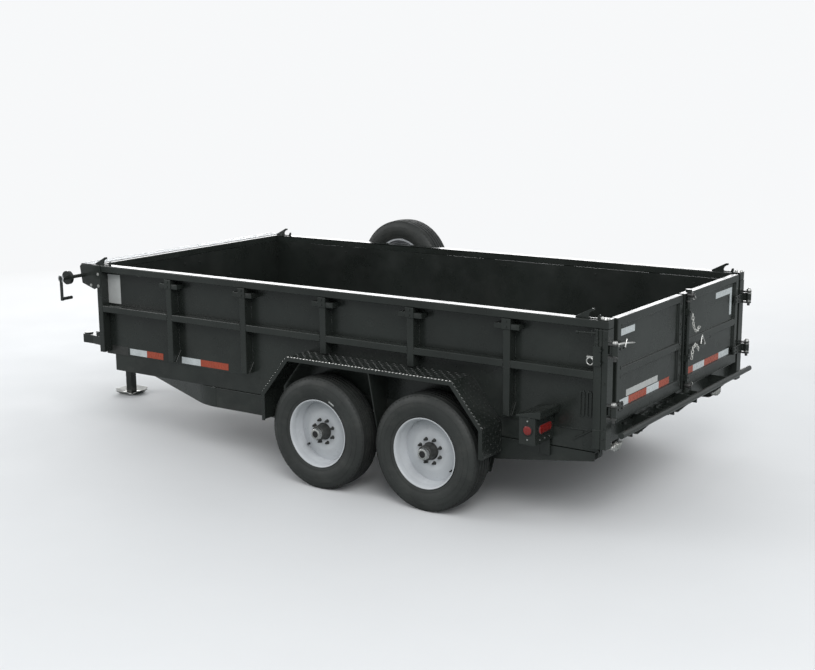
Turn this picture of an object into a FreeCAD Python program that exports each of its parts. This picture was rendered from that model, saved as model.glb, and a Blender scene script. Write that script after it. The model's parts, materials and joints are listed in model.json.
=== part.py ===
import FreeCAD, Part
import math
import os
import re

import Sketcher

# Tandem-axle dump trailer, millimetres. X runs forward to the coupler, Y to the left, Z up.
# While it is being built, x = 0 is the rear edge of the bed's floor, y = 0 the centre line
# and z = 0 the ground. Every node is then placed so that the origin is under the middle.

os.makedirs("parts", exist_ok=True)
doc = FreeCAD.newDocument("dump_trailer")

# Driving dimensions: alias, value
SIZES = [
    # Bed
    ("rear_reach", 150), ("bed_length", 4280), ("bed_inside", 2083), ("sheet", 4),
    ("floor_top", 750), ("floor_plate", 5), ("bed_top", 1360), ("rail_tube", 51),
    ("post_wide", 51), ("post_deep", 75), ("post_first", 639), ("post_last", 761),
    ("post_pitch", "=(bed_length - post_first - post_last) / 4"), ("post_bottom", 686),
    ("mid_rail_low", 997), ("sill_web", 6), ("flange", 50), ("sill_short", 85),
    ("member_first", 330), ("member_last", 125),
    ("member_pitch", "=(bed_length - member_first - member_last) / 9"),
    ("member_wide", 38), ("member_wall", 5),
    ("rear_post_back", 50), ("rear_post_front", 41), ("rear_post_low", 574),
    ("skirt_low", 655), ("front_post_low", 678), ("rear_frame", 76), ("sill_back", 25),
    ("post_gap", 9), ("front_post_pitch", 520), ("groove_at", 14), ("groove_wide", 5),
    ("bracket_half", 90), ("bracket_low", 1240), ("bracket_bar", 36), ("bracket_block", 64),
    ("bracket_plate", 8), ("hook_long", 150), ("hook_tall", 62), ("hook_tip", 14),
    ("hook_thick", 12), ("hook_in", 30), ("hook_rear_x", 20), ("hook_back", 180),
    ("bar_x", 130), ("bar_z", 668), ("bar_short", 40.5), ("bar_radius", 20),
    ("bar_plate_y", 640), ("bar_plate", 12), ("bar_foot", 40), ("bar_drop", 12),
    ("loop_x", 98), ("loop_pitch", 48), ("loop_half", 17), ("loop_bar", 8),
    ("loop_low", 757), ("loop_high", 888), ("loop_deep", 7), ("cap_thick", 6),
    ("cap_reach", 15), ("cap_bolt", 9), ("cap_bolt_tall", 8), ("cap_bolt_in", 14),
    ("latch_post_low", 1086), ("latch_post_high", 1205), ("latch_post_deep", 12),
    ("pull_rod", 8), ("pull_sink", 3),
    # Chassis
    ("rail_low", 373), ("rail_tall", 150), ("bed_gap", 5), ("rail_proud", 0.5),
    ("rail_face", "=bed_inside / 2 + rail_proud"), ("rail_web", 7), ("rail_back", 60),
    ("bend_back", 1130), ("rail_bend", "=bed_length - bend_back"), ("bend_radius", 500),
    ("tongue_half", 95), ("tongue_long", 980), ("tongue_reach", "=bed_length + tongue_long"),
    ("cross_tall", 76), ("taper_start", 750), ("taper_rise", 95), ("cross_rear", 228),
    ("cross_second", 700), ("cross_ahead", 546), ("cross_back", 50),
    # Hinge between bed and chassis
    ("hinge_x", 110), ("hinge_z", 490), ("hinge_in", 112), ("hinge_pin", 16),
    ("hinge_y", "=rail_face - hinge_in"),
    ("hinge_eye", 40), ("ear_thick", 14), ("ear_gap", 6), ("pin_gap", 0.05),
    # Running gear
    ("axle_rear_x", 1162), ("tyre_radius", 392.6), ("tyre_wide", 214), ("wheel_gap", 86.8),
    ("axle_pitch", "=2 * tyre_radius + wheel_gap"),
    ("tyre_gap", 19), ("tyre_face", "=rail_face + tyre_gap + tyre_wide"),
    ("rim_radius", 237), ("axle_drop", 102), ("axle_radius", 44),
    ("spindle_radius", 24), ("hub_radius", 56), ("hub_proud", 4), ("spring_wide", 40),
    ("hub_cap", "=tyre_face + hub_proud"), ("spring_y", "=rail_face - flange / 2"),
    ("spring_half", 325), ("leaf_thick", 9), ("eye_z", 285),
    ("seat_tall", 14), ("seat_half", 42), ("spring_eye", 17), ("hanger", 8),
    ("knuckle_thick", 13), ("spindle_long", 148),
    ("bead_deep", 22.4), ("tyre_deep", "=tyre_radius - rim_radius + bead_deep"),
    ("rim_sheet", 9), ("disc_out", 12), ("disc_dish", 34),
    ("disc_sheet", 10), ("disc_flat", 130), ("lug_circle", 82.5), ("lug_nut", 15),
    ("lug_tall", 20), ("stud", 7), ("hub_back", -105), ("drum_radius", 155),
    ("hub_mid", "=tyre_face - tyre_wide / 2"), ("spindle_end", 50),
    # Fender and lamps
    ("fender_gap", 11), ("fender_in", "=rail_face + fender_gap"), ("fender_lap", 20),
    ("fender_out", "=tyre_face + fender_lap"), ("fender_room", 120.8),
    ("fender_top", "=2 * tyre_radius + fender_room"), ("knee_drop", 280),
    ("fender_knee", "=fender_top - knee_drop"),
    ("fender_low", 430), ("fender_sheet", 4), ("fender_lip", 28), ("fender_flat", 230),
    ("fender_half_top", "=axle_pitch / 2 + fender_flat"), ("fender_clear", 64.4),
    ("fender_half_knee", "=axle_pitch / 2 + tyre_radius + fender_clear"),
    ("lamp_back", 336), ("lamp_front", 448), ("lamp_inset", 5),
    ("lamp_face", "=fender_out - lamp_inset"), ("lamp_low", 580), ("lamp_top", 752),
    ("marker_radius", 31), ("lamp_in_y", "=fender_in + lens_in"), ("lens_in", 32),
    ("stay_thick", 10), ("stay_out", 90), ("stay_long", 60),
    # Hoist
    ("hoist_base_x", 1300), ("hoist_base_z", 500), ("eye_back", 1280),
    ("hoist_eye_x", "=bed_length - eye_back"),
    ("hoist_eye_z", 600), ("hoist_y", 230), ("barrel_radius", 45), ("rod_radius", 24),
    ("eye_radius", 30), ("eye_wide", 50), ("clevis_thick", 12), ("clevis_gap", 1),
    ("clevis_pin", 14), ("barrel_dead", 60), ("rod_show", 85), ("pin_head", 10),
    ("ram_beam", 76), ("gland_long", 40), ("rod_hidden", 700),
    ("ram_span", "=sqrt((hoist_eye_x - hoist_base_x)^2 + (hoist_eye_z - hoist_base_z)^2)"),
    # Coupler and jack
    ("coupler_long", 446), ("coupler_tip", "=tongue_reach + coupler_long"),
    ("coupler_z", "=rail_low + rail_tall / 2"), ("ball_radius", 29.7), ("ball_deep", 46),
    ("coupler_half", 45), ("coupler_nose", 150), ("coupler_tall", 78), ("nose_cut", 24),
    ("socket_in", 50), ("dome_tall", 14), ("latch_tall", 32), ("latch_half", 14),
    ("latch_long", 120), ("latch_back", 130),
    ("jack_back", 120), ("jack_x", "=tongue_reach - jack_back"), ("jack_square", 76),
    ("jack_foot", 250), ("jack_top", 900), ("jack_low", 260), ("jack_inner", 62),
    ("foot_thick", 6), ("foot_flat", 150), ("foot_rise", 32), ("plate_back", 160),
    ("plate_front", 110), ("plate_edge", 10), ("plate_thick", 10), ("cap_edge", 5),
    ("cap_tall", 22), ("crank_drop", 60), ("crank_out", 70), ("crank_rod", 9),
    ("crank_hand", 11), ("hand_long", 160),
    # Rear doors
    ("door_back", 55), ("door_deep", 51), ("door_edge", 15), ("door_inset", 41.5),
    ("door_side", "=bed_inside / 2 - door_inset"), ("door_low", 715), ("door_tube", 51),
    ("door_pin_x", 92), ("pin_inset", 8.5),
    ("door_pin_y", "=bed_inside / 2 + sheet + post_deep - pin_inset"),
    ("door_pin", 10), ("knuckle", 19), ("strap", 12), ("strap_tall", 56),
    ("hinge_low", 812), ("hinge_high", 1185), ("door_bottom", 78), ("door_sheet", 3),
    ("sheet_inset", 15), ("strap_long", 76), ("lug_gap", 5), ("lug_thick", 12), ("pin_show", 18),
    ("latch_radius", 13), ("latch_low", 694), ("latch_high", 1390), ("cam_radius", 21),
    ("cam_tall", 20), ("guide_tall", 40), ("latch_reach", 280),
    # Spare, tarp and tongue box
    ("spare_ahead", 976), ("spare_x", "=axle_rear_x + axle_pitch + spare_ahead"),
    ("spare_z", 1162),
    ("spare_gap", 19.5), ("spare_y", "=bed_inside / 2 + sheet + post_deep + spare_gap"),
    ("tarp_radius", 46), ("tarp_drop", 40), ("tarp_gap", 8), ("crank_reach", 239.5),
    ("crank_face", "=bed_inside / 2 + sheet + post_deep + crank_reach"),
    ("box_ahead", 150), ("box_back", "=bed_length + box_ahead"), ("box_short", 370),
    ("box_long", "=tongue_reach - box_short - box_back"),
    ("box_half", 190), ("box_low", 410), ("box_top", 790), ("box_sheet", 3),
    ("box_lap", 6), ("lid_gap", 0.3), ("lid_drop", 24), ("shelf_wide", 40),
    ("lid_pin", 4), ("lid_pin_back", 9), ("lid_knuckle", 8), ("lid_lug", 45),
    ("carrier", 12), ("carrier_half", 320), ("cloth_in", 45), ("tarp_shaft", 14), ("tarp_cheek", 8),
    ("cheek_tall", 190), ("cheek_long", 150), ("crank_disc", 52), ("crank_thick", 26),
    ("crank_long", 170), ("crank_grip", 100),
]

sheet = doc.addObject("Spreadsheet::Sheet", "Sizes")
for row, (alias, value) in enumerate(SIZES, start=1):
    sheet.set("A%d" % row, alias)
    sheet.set("B%d" % row, str(value))
    sheet.setAlias("B%d" % row, alias)
doc.recompute()
v = {alias: float(sheet.get(alias)) for alias, value in SIZES}

NAMES = re.compile(r"[a-z][a-z_]+[a-z]")
ALIASES = {alias for alias, value in SIZES}


def bind(text):
    """An expression on the sheet's aliases, from words such as 'bed_length - sheet'."""
    return NAMES.sub(lambda m: "Sizes." + m.group() if m.group() in ALIASES else m.group(),
                     str(text))


def less(a, b):
    return "(%s) - (%s)" % (a, b)


def plus(*terms):
    return " + ".join("(%s)" % term for term in terms)


def worth(text):
    """The value of an expression on the sheet's aliases."""
    sheet_value = doc.getObject("Sizes").evalExpression(bind(text).replace("Sizes.", ""))
    return float(getattr(sheet_value, "Value", sheet_value))


def feature(kind, label, **bound):
    """A document object with its properties bound to the sheet; double underscores nest."""
    thing = doc.addObject(kind, label)
    for name, text in bound.items():
        thing.setExpression(name.replace("__", "."), bind(text))
    return thing


def box(label, x0, x1, y0, y1, z0, z1):
    return feature("Part::Box", label, Length=less(x1, x0), Width=less(y1, y0),
                   Height=less(z1, z0), Placement__Base__x=x0, Placement__Base__y=y0,
                   Placement__Base__z=z0)


TURNS = {
    "x": FreeCAD.Rotation(FreeCAD.Vector(0, 0, 1), FreeCAD.Vector(1, 0, 0)),
    "y": FreeCAD.Rotation(FreeCAD.Vector(0, 0, 1), FreeCAD.Vector(0, 1, 0)),
    "z": FreeCAD.Rotation(),
}


def rod(label, axis, x, y, z, radius, length):
    """A cylinder that starts at a point and runs along an axis."""
    thing = feature("Part::Cylinder", label, Radius=radius, Height=length)
    thing.Placement.Rotation = TURNS[axis]
    for name, text in (("x", x), ("y", y), ("z", z)):
        thing.setExpression("Placement.Base." + name, bind(text))
    return thing


def cut(label, base, *tools):
    tool = tools[0] if len(tools) == 1 else fuse(label + "_tools", *tools)
    thing = doc.addObject("Part::Cut", label)
    thing.Base = base
    thing.Tool = tool
    return thing


def fuse(label, *shapes):
    thing = doc.addObject("Part::MultiFuse", label)
    thing.Shapes = list(shapes)
    thing.Refine = True
    return thing


def group(label, *pieces):
    """Separate solids that go about together."""
    thing = doc.addObject("Part::Compound", label)
    thing.Links = list(pieces)
    return thing


def mirror(label, source):
    """The right-hand twin of a left-hand piece."""
    thing = doc.addObject("Part::Mirroring", label)
    thing.Source = source
    thing.Normal = FreeCAD.Vector(0, 1, 0)
    return thing


def plane(body, role):
    return [f for f in body.Origin.OriginFeatures if f.Role == role][0]


def outline(body, role, points, label):
    """A closed sketch of straight lines whose corners are bound to the sheet."""
    sketch = body.newObject("Sketcher::SketchObject", label)
    sketch.AttachmentSupport = [(plane(body, role), "")]
    sketch.MapMode = "FlatFace"
    corners = [FreeCAD.Vector(worth(a), worth(b), 0) for a, b in points]
    count = len(corners)
    for i in range(count):
        sketch.addGeometry(Part.LineSegment(corners[i], corners[(i + 1) % count]), False)
    for i in range(count):
        sketch.addConstraint(Sketcher.Constraint("Coincident", i, 2, (i + 1) % count, 1))
    for i, (a, b) in enumerate(points):
        for kind, text, value in (("DistanceX", a, corners[i].x), ("DistanceY", b, corners[i].y)):
            at = sketch.addConstraint(Sketcher.Constraint(kind, i, 1, value))
            sketch.setExpression("Constraints[%d]" % at, bind(text))
    return sketch


AXES = {"XY_Plane": "z", "XZ_Plane": "y", "YZ_Plane": "x"}


def prism(label, role, points, low, high):
    """A body padded from one outline, between two places on the plane's normal."""
    body = doc.addObject("PartDesign::Body", label)
    sketch = outline(body, role, points, label + "_sketch")
    pad = body.newObject("PartDesign::Pad", label + "_pad")
    pad.Profile = sketch
    pad.setExpression("Length", bind(less(high, low)))
    pad.Reversed = role == "XZ_Plane"
    body.setExpression("Placement.Base." + AXES[role], bind(low))
    return body


def turned(label, points, x, y, z):
    """A body revolved about its own Y axis from (radius, y) points."""
    body = doc.addObject("PartDesign::Body", label)
    sketch = outline(body, "XY_Plane", points, label + "_sketch")
    spin = body.newObject("PartDesign::Revolution", label + "_turn")
    spin.Profile = sketch
    spin.ReferenceAxis = (sketch, ["V_Axis"])
    spin.Angle = 360
    for name, text in (("x", x), ("y", y), ("z", z)):
        body.setExpression("Placement.Base." + name, bind(text))
    return body


def moved(label, source, x, y, z, turn=None):
    """A copy of a piece at another place."""
    thing = doc.addObject("Part::Compound", label)
    thing.Links = [source]
    if turn:
        thing.Placement.Rotation = turn
    for name, text in (("x", x), ("y", y), ("z", z)):
        thing.setExpression("Placement.Base." + name, bind(text))
    return thing


nodes = []


def node(label, *pieces):
    """One named sub-part: its pieces, placed about the origin under the trailer's middle."""
    thing = doc.addObject("Part::Compound", label)
    thing.Label = label
    thing.Links = list(pieces)
    thing.setExpression("Placement.Base.x", bind("-(coupler_tip - rear_reach) / 2"))
    nodes.append(thing)
    return thing


# Names for faces that many pieces share
side_in = "bed_inside / 2"
side_out = "bed_inside / 2 + sheet"
post_out = "bed_inside / 2 + sheet + post_deep"
top_low = "bed_top - rail_tube"
sill_low = "rail_low + rail_tall + bed_gap"
sill_top = "rail_low + rail_tall + bed_gap + rail_tall"
axle_front_x = "axle_rear_x + axle_pitch"


def twins(label, source):
    """A left-hand piece and its mirrored twin."""
    return [source, mirror(label, source)]


def row_of(label, source, count, pitch):
    """Copies of one piece in a row along X."""
    return [moved("%s_%d" % (label, i + 1), source, "%d * %s" % (i, pitch), "0", "0")
            for i in range(count)]


def channel(label, outer, inner, low, high, web, x0, x1):
    """A C section along X whose web is at the outer face and whose flanges run inwards."""
    back = less(outer, web)
    return prism(label, "YZ_Plane", [
        (outer, low), (outer, high), (inner, high), (inner, less(high, web)),
        (back, less(high, web)), (back, plus(low, web)), (inner, plus(low, web)),
        (inner, low)], x0, x1)


# Bed: floor, side sheets and front sheet
node("bed_floor", box("floor_sheet", "0", "bed_length - sheet", "-bed_inside / 2", side_in,
                      "floor_top - floor_plate", "floor_top"))
wall = box("wall_sheet", "0", "bed_length", side_in, side_out, "skirt_low", top_low)
node("bed_wall_left", wall)
node("bed_wall_right", mirror("wall_twin", wall))
node("bed_front_wall", box("front_sheet", "bed_length - sheet", "bed_length",
                           "-bed_inside / 2", side_in, sill_top, top_low))

# Bed: side sills, cross members and the rear frame under the floor
sill = channel("sill", side_in, less(side_in, "flange"), sill_low, sill_top, "sill_web",
               "hinge_x + sill_back", "bed_length - sill_short")
node("bed_sills", *twins("sill_twin", sill))
member = prism("member", "XZ_Plane", [
    ("0", sill_top), ("member_wide", sill_top), ("member_wide", plus(sill_top, "member_wall")),
    ("member_wall", plus(sill_top, "member_wall")),
    ("member_wall", "floor_top - floor_plate - member_wall"),
    ("member_wide", "floor_top - floor_plate - member_wall"),
    ("member_wide", "floor_top - floor_plate"), ("0", "floor_top - floor_plate")],
    "-bed_inside / 2", side_in)
rearmost_member = moved("rearmost_member", member, "member_first", "0", "0")
ram_beam = box("ram_beam", "hoist_eye_x - ram_beam / 2", "hoist_eye_x + ram_beam / 2",
               "-bed_inside / 2", side_in, sill_top, "floor_top - floor_plate")
node("bed_crossmembers", *(row_of("cross", rearmost_member, 10, "member_pitch") + [ram_beam]))
node("bed_rear_frame", box("rear_beam", "0", "rear_frame", "-bed_inside / 2", side_in,
                           "rear_post_low", "floor_top - floor_plate"))

# Bed: side posts, the shorter ones above the fender, and the front ones
POSTS = [
    # number from the rear, underside
    (0, "post_bottom"), (1, "fender_top + post_gap"), (2, "fender_top + post_gap"),
    (3, "post_bottom"), (4, "post_bottom"),
]
posts = []
for number, low in POSTS:
    middle = "post_first + %d * post_pitch" % number
    posts.append(box("post_%d" % number, less(middle, "post_wide / 2"),
                     plus(middle, "post_wide / 2"), side_out, post_out, low, top_low))
posts.append(box("corner_post", "bed_length - post_wide", "bed_length", side_out, post_out,
                 "front_post_low", top_low))
side_posts = fuse("side_post_set", *posts)
front_posts = [box("front_post_%d" % i, "bed_length", "bed_length + post_wide",
                   "%d * front_post_pitch - post_wide / 2" % i,
                   "%d * front_post_pitch + post_wide / 2" % i, sill_top, top_low)
               for i in (-1, 0, 1)]
node("bed_posts", *(twins("side_post_twin", side_posts) + front_posts))

# Bed: middle rail in lengths between the posts, and the top rails
ends = ["rear_post_front"]
for number, low in POSTS:
    ends.append("post_first + %d * post_pitch - post_wide / 2" % number)
    ends.append("post_first + %d * post_pitch + post_wide / 2" % number)
ends.append("bed_length - post_wide")
lengths = [box("mid_rail_%d" % i, ends[2 * i], ends[2 * i + 1], side_out, post_out,
               "mid_rail_low", "mid_rail_low + rail_tube") for i in range(len(ends) // 2)]
mid_rails = fuse("mid_rail_set", *lengths)
node("mid_rails", *twins("mid_rail_twin", mid_rails))
top_rail = box("top_rail", "-rear_post_back", "bed_length + post_deep", side_in, post_out,
               top_low, "bed_top")
front_rail = box("front_rail", "bed_length - sheet", "bed_length + post_deep",
                 "-bed_inside / 2", side_in, top_low, "bed_top")
node("top_rails", *(twins("top_rail_twin", top_rail) + [front_rail]))

# Bed: rear corner posts with the groove between post and hinge strip
corner = box("rear_post_bar", "-rear_post_back", "rear_post_front", side_out, post_out,
             "rear_post_low", top_low)
groove = box("rear_post_groove", "-groove_at", "-groove_at + groove_wide",
             less(post_out, "groove_wide"), plus(post_out, "1"), "rear_post_low - 1",
             plus(top_low, "1"))
rear_post = cut("rear_post", corner, groove)
post_latch = box("post_latch", "-groove_at + groove_wide", "rear_post_front", post_out,
                 plus(post_out, "latch_post_deep"), "latch_post_low", "latch_post_high")
post_rod = rod("post_rod", "z", "rear_post_front / 2", plus(post_out, "pull_rod - pull_sink"),
               "latch_post_high", "pull_rod", less(top_low, "latch_post_high"))
post_set = fuse("rear_post_set", rear_post, post_latch, post_rod)

# Bed: two flat oval loops on the side sheet ahead of each rear post, and the post's cap
loops = []
for i in range(2):
    across = "loop_x + %d * loop_pitch" % i
    ovals = []
    for name, half, low_y, deep in (
            ("outer", "loop_half", side_out, "loop_deep"),
            ("inner", "loop_half - loop_bar", less(side_out, "1"), "loop_deep + 2")):
        ovals.append(fuse("loop_%s_%d" % (name, i),
                          box("loop_%s_side_%d" % (name, i), less(across, half),
                              plus(across, half), low_y, plus(low_y, deep), "loop_low",
                              "loop_high"),
                          rod("loop_%s_foot_%d" % (name, i), "y", across, low_y, "loop_low",
                              half, deep),
                          rod("loop_%s_head_%d" % (name, i), "y", across, low_y, "loop_high",
                              half, deep)))
    loops.append(cut("loop_%d" % i, *ovals))
cap = fuse("post_cap", box("cap_plate", "-rear_post_back", "cap_reach", side_in, post_out,
                           "bed_top", "bed_top + cap_thick"),
           *[rod("cap_bolt_%d" % i, "z", x, less(post_out, "2 * cap_bolt_in"),
                 "bed_top + cap_thick", "cap_bolt", "cap_bolt_tall")
             for i, x in enumerate(("cap_bolt_in - rear_post_back", "cap_reach - cap_bolt_in"))])
node("rear_posts", *twins("rear_post_twin", group("rear_post_group", post_set, cap, *loops)))

# Bed: a block and a crossing bar at the top of each side post
blocks = []
for number, low in POSTS:
    middle = "post_first + %d * post_pitch" % number
    blocks.append(box("bracket_bar_%d" % number, less(middle, "bracket_half"),
                      less(middle, "post_wide / 2"), side_out, post_out,
                      "bracket_low", "bracket_low + bracket_bar"))
    blocks.append(box("bracket_wing_%d" % number, plus(middle, "post_wide / 2"),
                      plus(middle, "bracket_half"), side_out, post_out,
                      "bracket_low", "bracket_low + bracket_bar"))
    blocks.append(box("bracket_block_%d" % number, less(middle, "bracket_block / 2"),
                      plus(middle, "bracket_block / 2"), post_out,
                      plus(post_out, "bracket_plate"), "bracket_low", top_low))
brackets = fuse("bracket_set", *blocks)
node("post_brackets", *twins("bracket_twin", brackets))

# Bed: leaning hooks on the top rail near its ends, with the rounded tip of each
fin = prism("hook_fin", "XZ_Plane", [
    ("0", "bed_top"), ("hook_long", "bed_top"), ("hook_long - hook_tip", "bed_top + hook_tip"),
    ("hook_tip", "bed_top + hook_tall - hook_tip / 2"), ("0", "bed_top + hook_tall")],
    less(post_out, "hook_in + hook_thick"), less(post_out, "hook_in"))
tip = rod("hook_ball", "y", "hook_tip", less(post_out, "hook_in + hook_thick"),
          "bed_top + hook_tall - hook_tip", "hook_tip", "hook_thick")
hook = fuse("hook", fin, tip)
rear_hook = moved("rear_hook", hook, "hook_rear_x", "0", "0")
front_hook = moved("front_hook", hook, "bed_length - hook_back", "0", "0")
node("board_hooks", *(twins("rear_hook_twin", rear_hook) + twins("front_hook_twin", front_hook)))

# Bed: bar across the rear under the doors, on two end plates
bar_half = less(post_out, "bar_short")
bar = rod("bar_tube", "y", "-bar_x", "-(%s)" % bar_half, "bar_z", "bar_radius",
          "2 * (%s)" % bar_half)
plates = []
for number, place in enumerate(("bar_plate_y", "0", "-bar_plate_y")):
    plates.append(prism("bar_plate_%d" % number, "XZ_Plane", [
        ("0", "rear_post_low"), ("0", "bar_z + bar_radius"),
        ("-bar_x", "bar_z + bar_radius"), ("-bar_x - bar_radius", "bar_z"),
        ("-bar_x", "bar_z - bar_radius"), ("-bar_foot", "rear_post_low - bar_drop"),
        ("0", "rear_post_low - bar_drop")],
        less(place, "bar_plate / 2"), plus(place, "bar_plate / 2")))
node("rear_bar", fuse("rear_bar_set", bar, *plates))

# Bed: ears that hang on the hinge pins, and ears for the two rams
eye_low = "hinge_x - hinge_eye"
ear_plate = prism("hinge_ear_plate", "XZ_Plane", [
    (eye_low, "hinge_z"), ("hinge_x + hinge_eye", "hinge_z"),
    ("hinge_x + hinge_eye", "floor_top - floor_plate"),
    ("rear_frame", "floor_top - floor_plate"), ("rear_frame", "rear_post_low"),
    (eye_low, "rear_post_low")], "hinge_y", "hinge_y + ear_thick")
ear_eye = rod("hinge_ear_eye", "y", "hinge_x", "hinge_y", "hinge_z", "hinge_eye", "ear_thick")
ear_bore = rod("hinge_ear_bore", "y", "hinge_x", "hinge_y - 1", "hinge_z",
               "hinge_pin + pin_gap", "ear_thick + 2")
hinge_ear = cut("hinge_ear", fuse("hinge_ear_solid", ear_plate, ear_eye), ear_bore)


def clevis(label, x, z, base_low, base_high, head):
    """Two ears beside an eye, with a pin head on each; the ears reach between two heights."""
    parts = []
    for number, sign in enumerate((-1, 1)):
        inner = "hoist_y + %d * (eye_wide / 2 + clevis_gap)" % sign
        outer = "hoist_y + %d * (eye_wide / 2 + clevis_gap + clevis_thick)" % sign
        far = "hoist_y + %d * (eye_wide / 2 + clevis_gap + clevis_thick + %s)" % (sign, head)
        low_y, high_y = (outer, inner) if sign < 0 else (inner, outer)
        head_y = far if sign < 0 else outer
        parts.append(box("%s_ear_%d" % (label, number), less(x, "eye_radius"),
                         plus(x, "eye_radius"), low_y, high_y, base_low, base_high))
        parts.append(rod("%s_round_%d" % (label, number), "y", x, low_y, z, "eye_radius",
                         "clevis_thick"))
        parts.append(rod("%s_head_%d" % (label, number), "y", x, head_y, z,
                         "clevis_pin + 5", head))
    return parts


ram_ear = fuse("ram_ear", *clevis("ram_eye", "hoist_eye_x", "hoist_eye_z", "hoist_eye_z",
                                  sill_top, "pin_head"))
node("bed_ears", *(twins("hinge_ear_twin", hinge_ear) + twins("ram_ear_twin", ram_ear)))

# Rear doors: a tube frame with a middle rail around a sheet, hinged at the outer edge
door_in = "-door_back + door_deep"
frame = [
    # name, inner y, outer y, low z, high z
    ("door_stile_in", "door_edge", "door_edge + door_tube", "door_low", "bed_top"),
    ("door_stile_out", "door_side - door_tube", "door_side", "door_low", "bed_top"),
    ("door_rail_low", "door_edge + door_tube", "door_side - door_tube", "door_low",
     "door_low + door_bottom"),
    ("door_rail_mid", "door_edge + door_tube", "door_side - door_tube", "mid_rail_low",
     "mid_rail_low + rail_tube"),
    ("door_rail_high", "door_edge + door_tube", "door_side - door_tube", top_low, "bed_top"),
]
bars = [box(name, "-door_back", door_in, y0, y1, z0, z1) for name, y0, y1, z0, z1 in frame]
bars.append(box("door_sheet", "-door_back + sheet_inset",
                "-door_back + sheet_inset + door_sheet", "door_edge + door_tube",
                "door_side - door_tube", "door_low + door_bottom", top_low))
door = fuse("door_leaf", *bars)
straps = []
lugs = []
for number, height in enumerate(("hinge_low", "hinge_high")):
    low = less(height, "strap_tall / 2")
    straps.append(box("strap_%d" % number, "-door_back - strap", "-door_back",
                      "door_side - strap_long", "door_pin_y", low, plus(low, "strap_tall")))
    straps.append(box("strap_leg_%d" % number, "-door_pin_x", "-door_back",
                      "door_pin_y - strap", "door_pin_y", low, plus(low, "strap_tall")))
    straps.append(rod("strap_eye_%d" % number, "z", "-door_pin_x", "door_pin_y", low,
                      "knuckle", "strap_tall"))
    pin_low = "%s - strap_tall / 2 - lug_gap - lug_thick" % height
    for end, base in (("low", pin_low),
                      ("high", "%s + strap_tall / 2 + lug_gap" % height)):
        lugs.append(box("lug_%s_%d" % (end, number), "-door_pin_x", "-rear_post_back",
                        "door_pin_y - knuckle", post_out, base, plus(base, "lug_thick")))
        lugs.append(rod("lug_eye_%s_%d" % (end, number), "z", "-door_pin_x", "door_pin_y",
                        base, "knuckle", "lug_thick"))
    lugs.append(rod("door_pin_%d" % number, "z", "-door_pin_x", "door_pin_y",
                    less(pin_low, "pin_show"), "door_pin",
                    "strap_tall + 2 * (lug_gap + lug_thick + pin_show)"))
bores = [rod("strap_bore_%d" % number, "z", "-door_pin_x", "door_pin_y",
             "%s - strap_tall" % height, "door_pin + pin_gap", "2 * strap_tall")
         for number, height in enumerate(("hinge_low", "hinge_high"))]
strap_set = cut("strap_set", fuse("strap_solid", *straps), *bores)
lug_set = fuse("lug_set", *lugs)
node("door_left", door)
node("door_right", mirror("door_twin", door))
node("door_straps_left", strap_set)
node("door_straps_right", mirror("strap_twin", strap_set))
node("door_hinge_pins", *twins("lug_twin", lug_set))
latch_rod = rod("latch_rod", "z", "-door_back - latch_radius - 1", "-door_edge - door_tube / 2",
                "latch_low", "latch_radius", "latch_high - latch_low")
cams = [rod("latch_cam_%d" % i, "z", "-door_back - latch_radius - 1",
            "-door_edge - door_tube / 2", place, "cam_radius", "cam_tall")
        for i, place in enumerate(("latch_low", "latch_high - cam_tall"))]
guides = [box("latch_guide_%d" % i, "-door_back - 2 * latch_radius - 6", "-door_back",
              "-door_edge - door_tube + 4", "-door_edge - 4", place, place + " + guide_tall")
          for i, place in enumerate(("door_low + 60", "mid_rail_low - 90", "bed_top - 140"))]
handle = box("latch_handle", "-door_back - 2 * latch_radius - 8",
             "-door_back - 2 * latch_radius + 4", "-door_edge - latch_reach",
             "-door_edge - door_tube / 2", "mid_rail_low - 40", "mid_rail_low - 10")
node("latch_bar", fuse("latch_set", latch_rod, handle, *(cams + guides)))

# Chassis: straight side rails with the rear ends tapered up
rail = channel("rail", "rail_face", "rail_face - flange", "rail_low",
               "rail_low + rail_tall", "rail_web", "rail_back", "rail_bend")
taper = prism("rail_taper", "XZ_Plane", [
    ("rail_back - 1", "rail_low - 1"), ("taper_start", "rail_low - 1"),
    ("taper_start", "rail_low"), ("rail_back - 1", "rail_low + taper_rise")],
    "rail_face - flange - 1", "rail_face + 1")
node("frame_rails", *twins("rail_twin", cut("rail_cut", rail, taper)))


def tongue_turn():
    """The bend's angle that brings the rails' outer faces in to the coupler's neck."""
    turn = 0.4
    for _ in range(40):
        across = v["rail_face"] - v["tongue_half"] - v["bend_radius"] * (1 - math.cos(turn))
        along = v["tongue_reach"] - v["rail_bend"] - v["bend_radius"] * math.sin(turn)
        turn = math.atan2(across, along)
    return turn


def tongue_face(x):
    """How far from the centre line the tongue's outer face is at a place along X."""
    return v["tongue_half"] + math.tan(tongue_turn()) * (v["tongue_reach"] - x)


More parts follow.
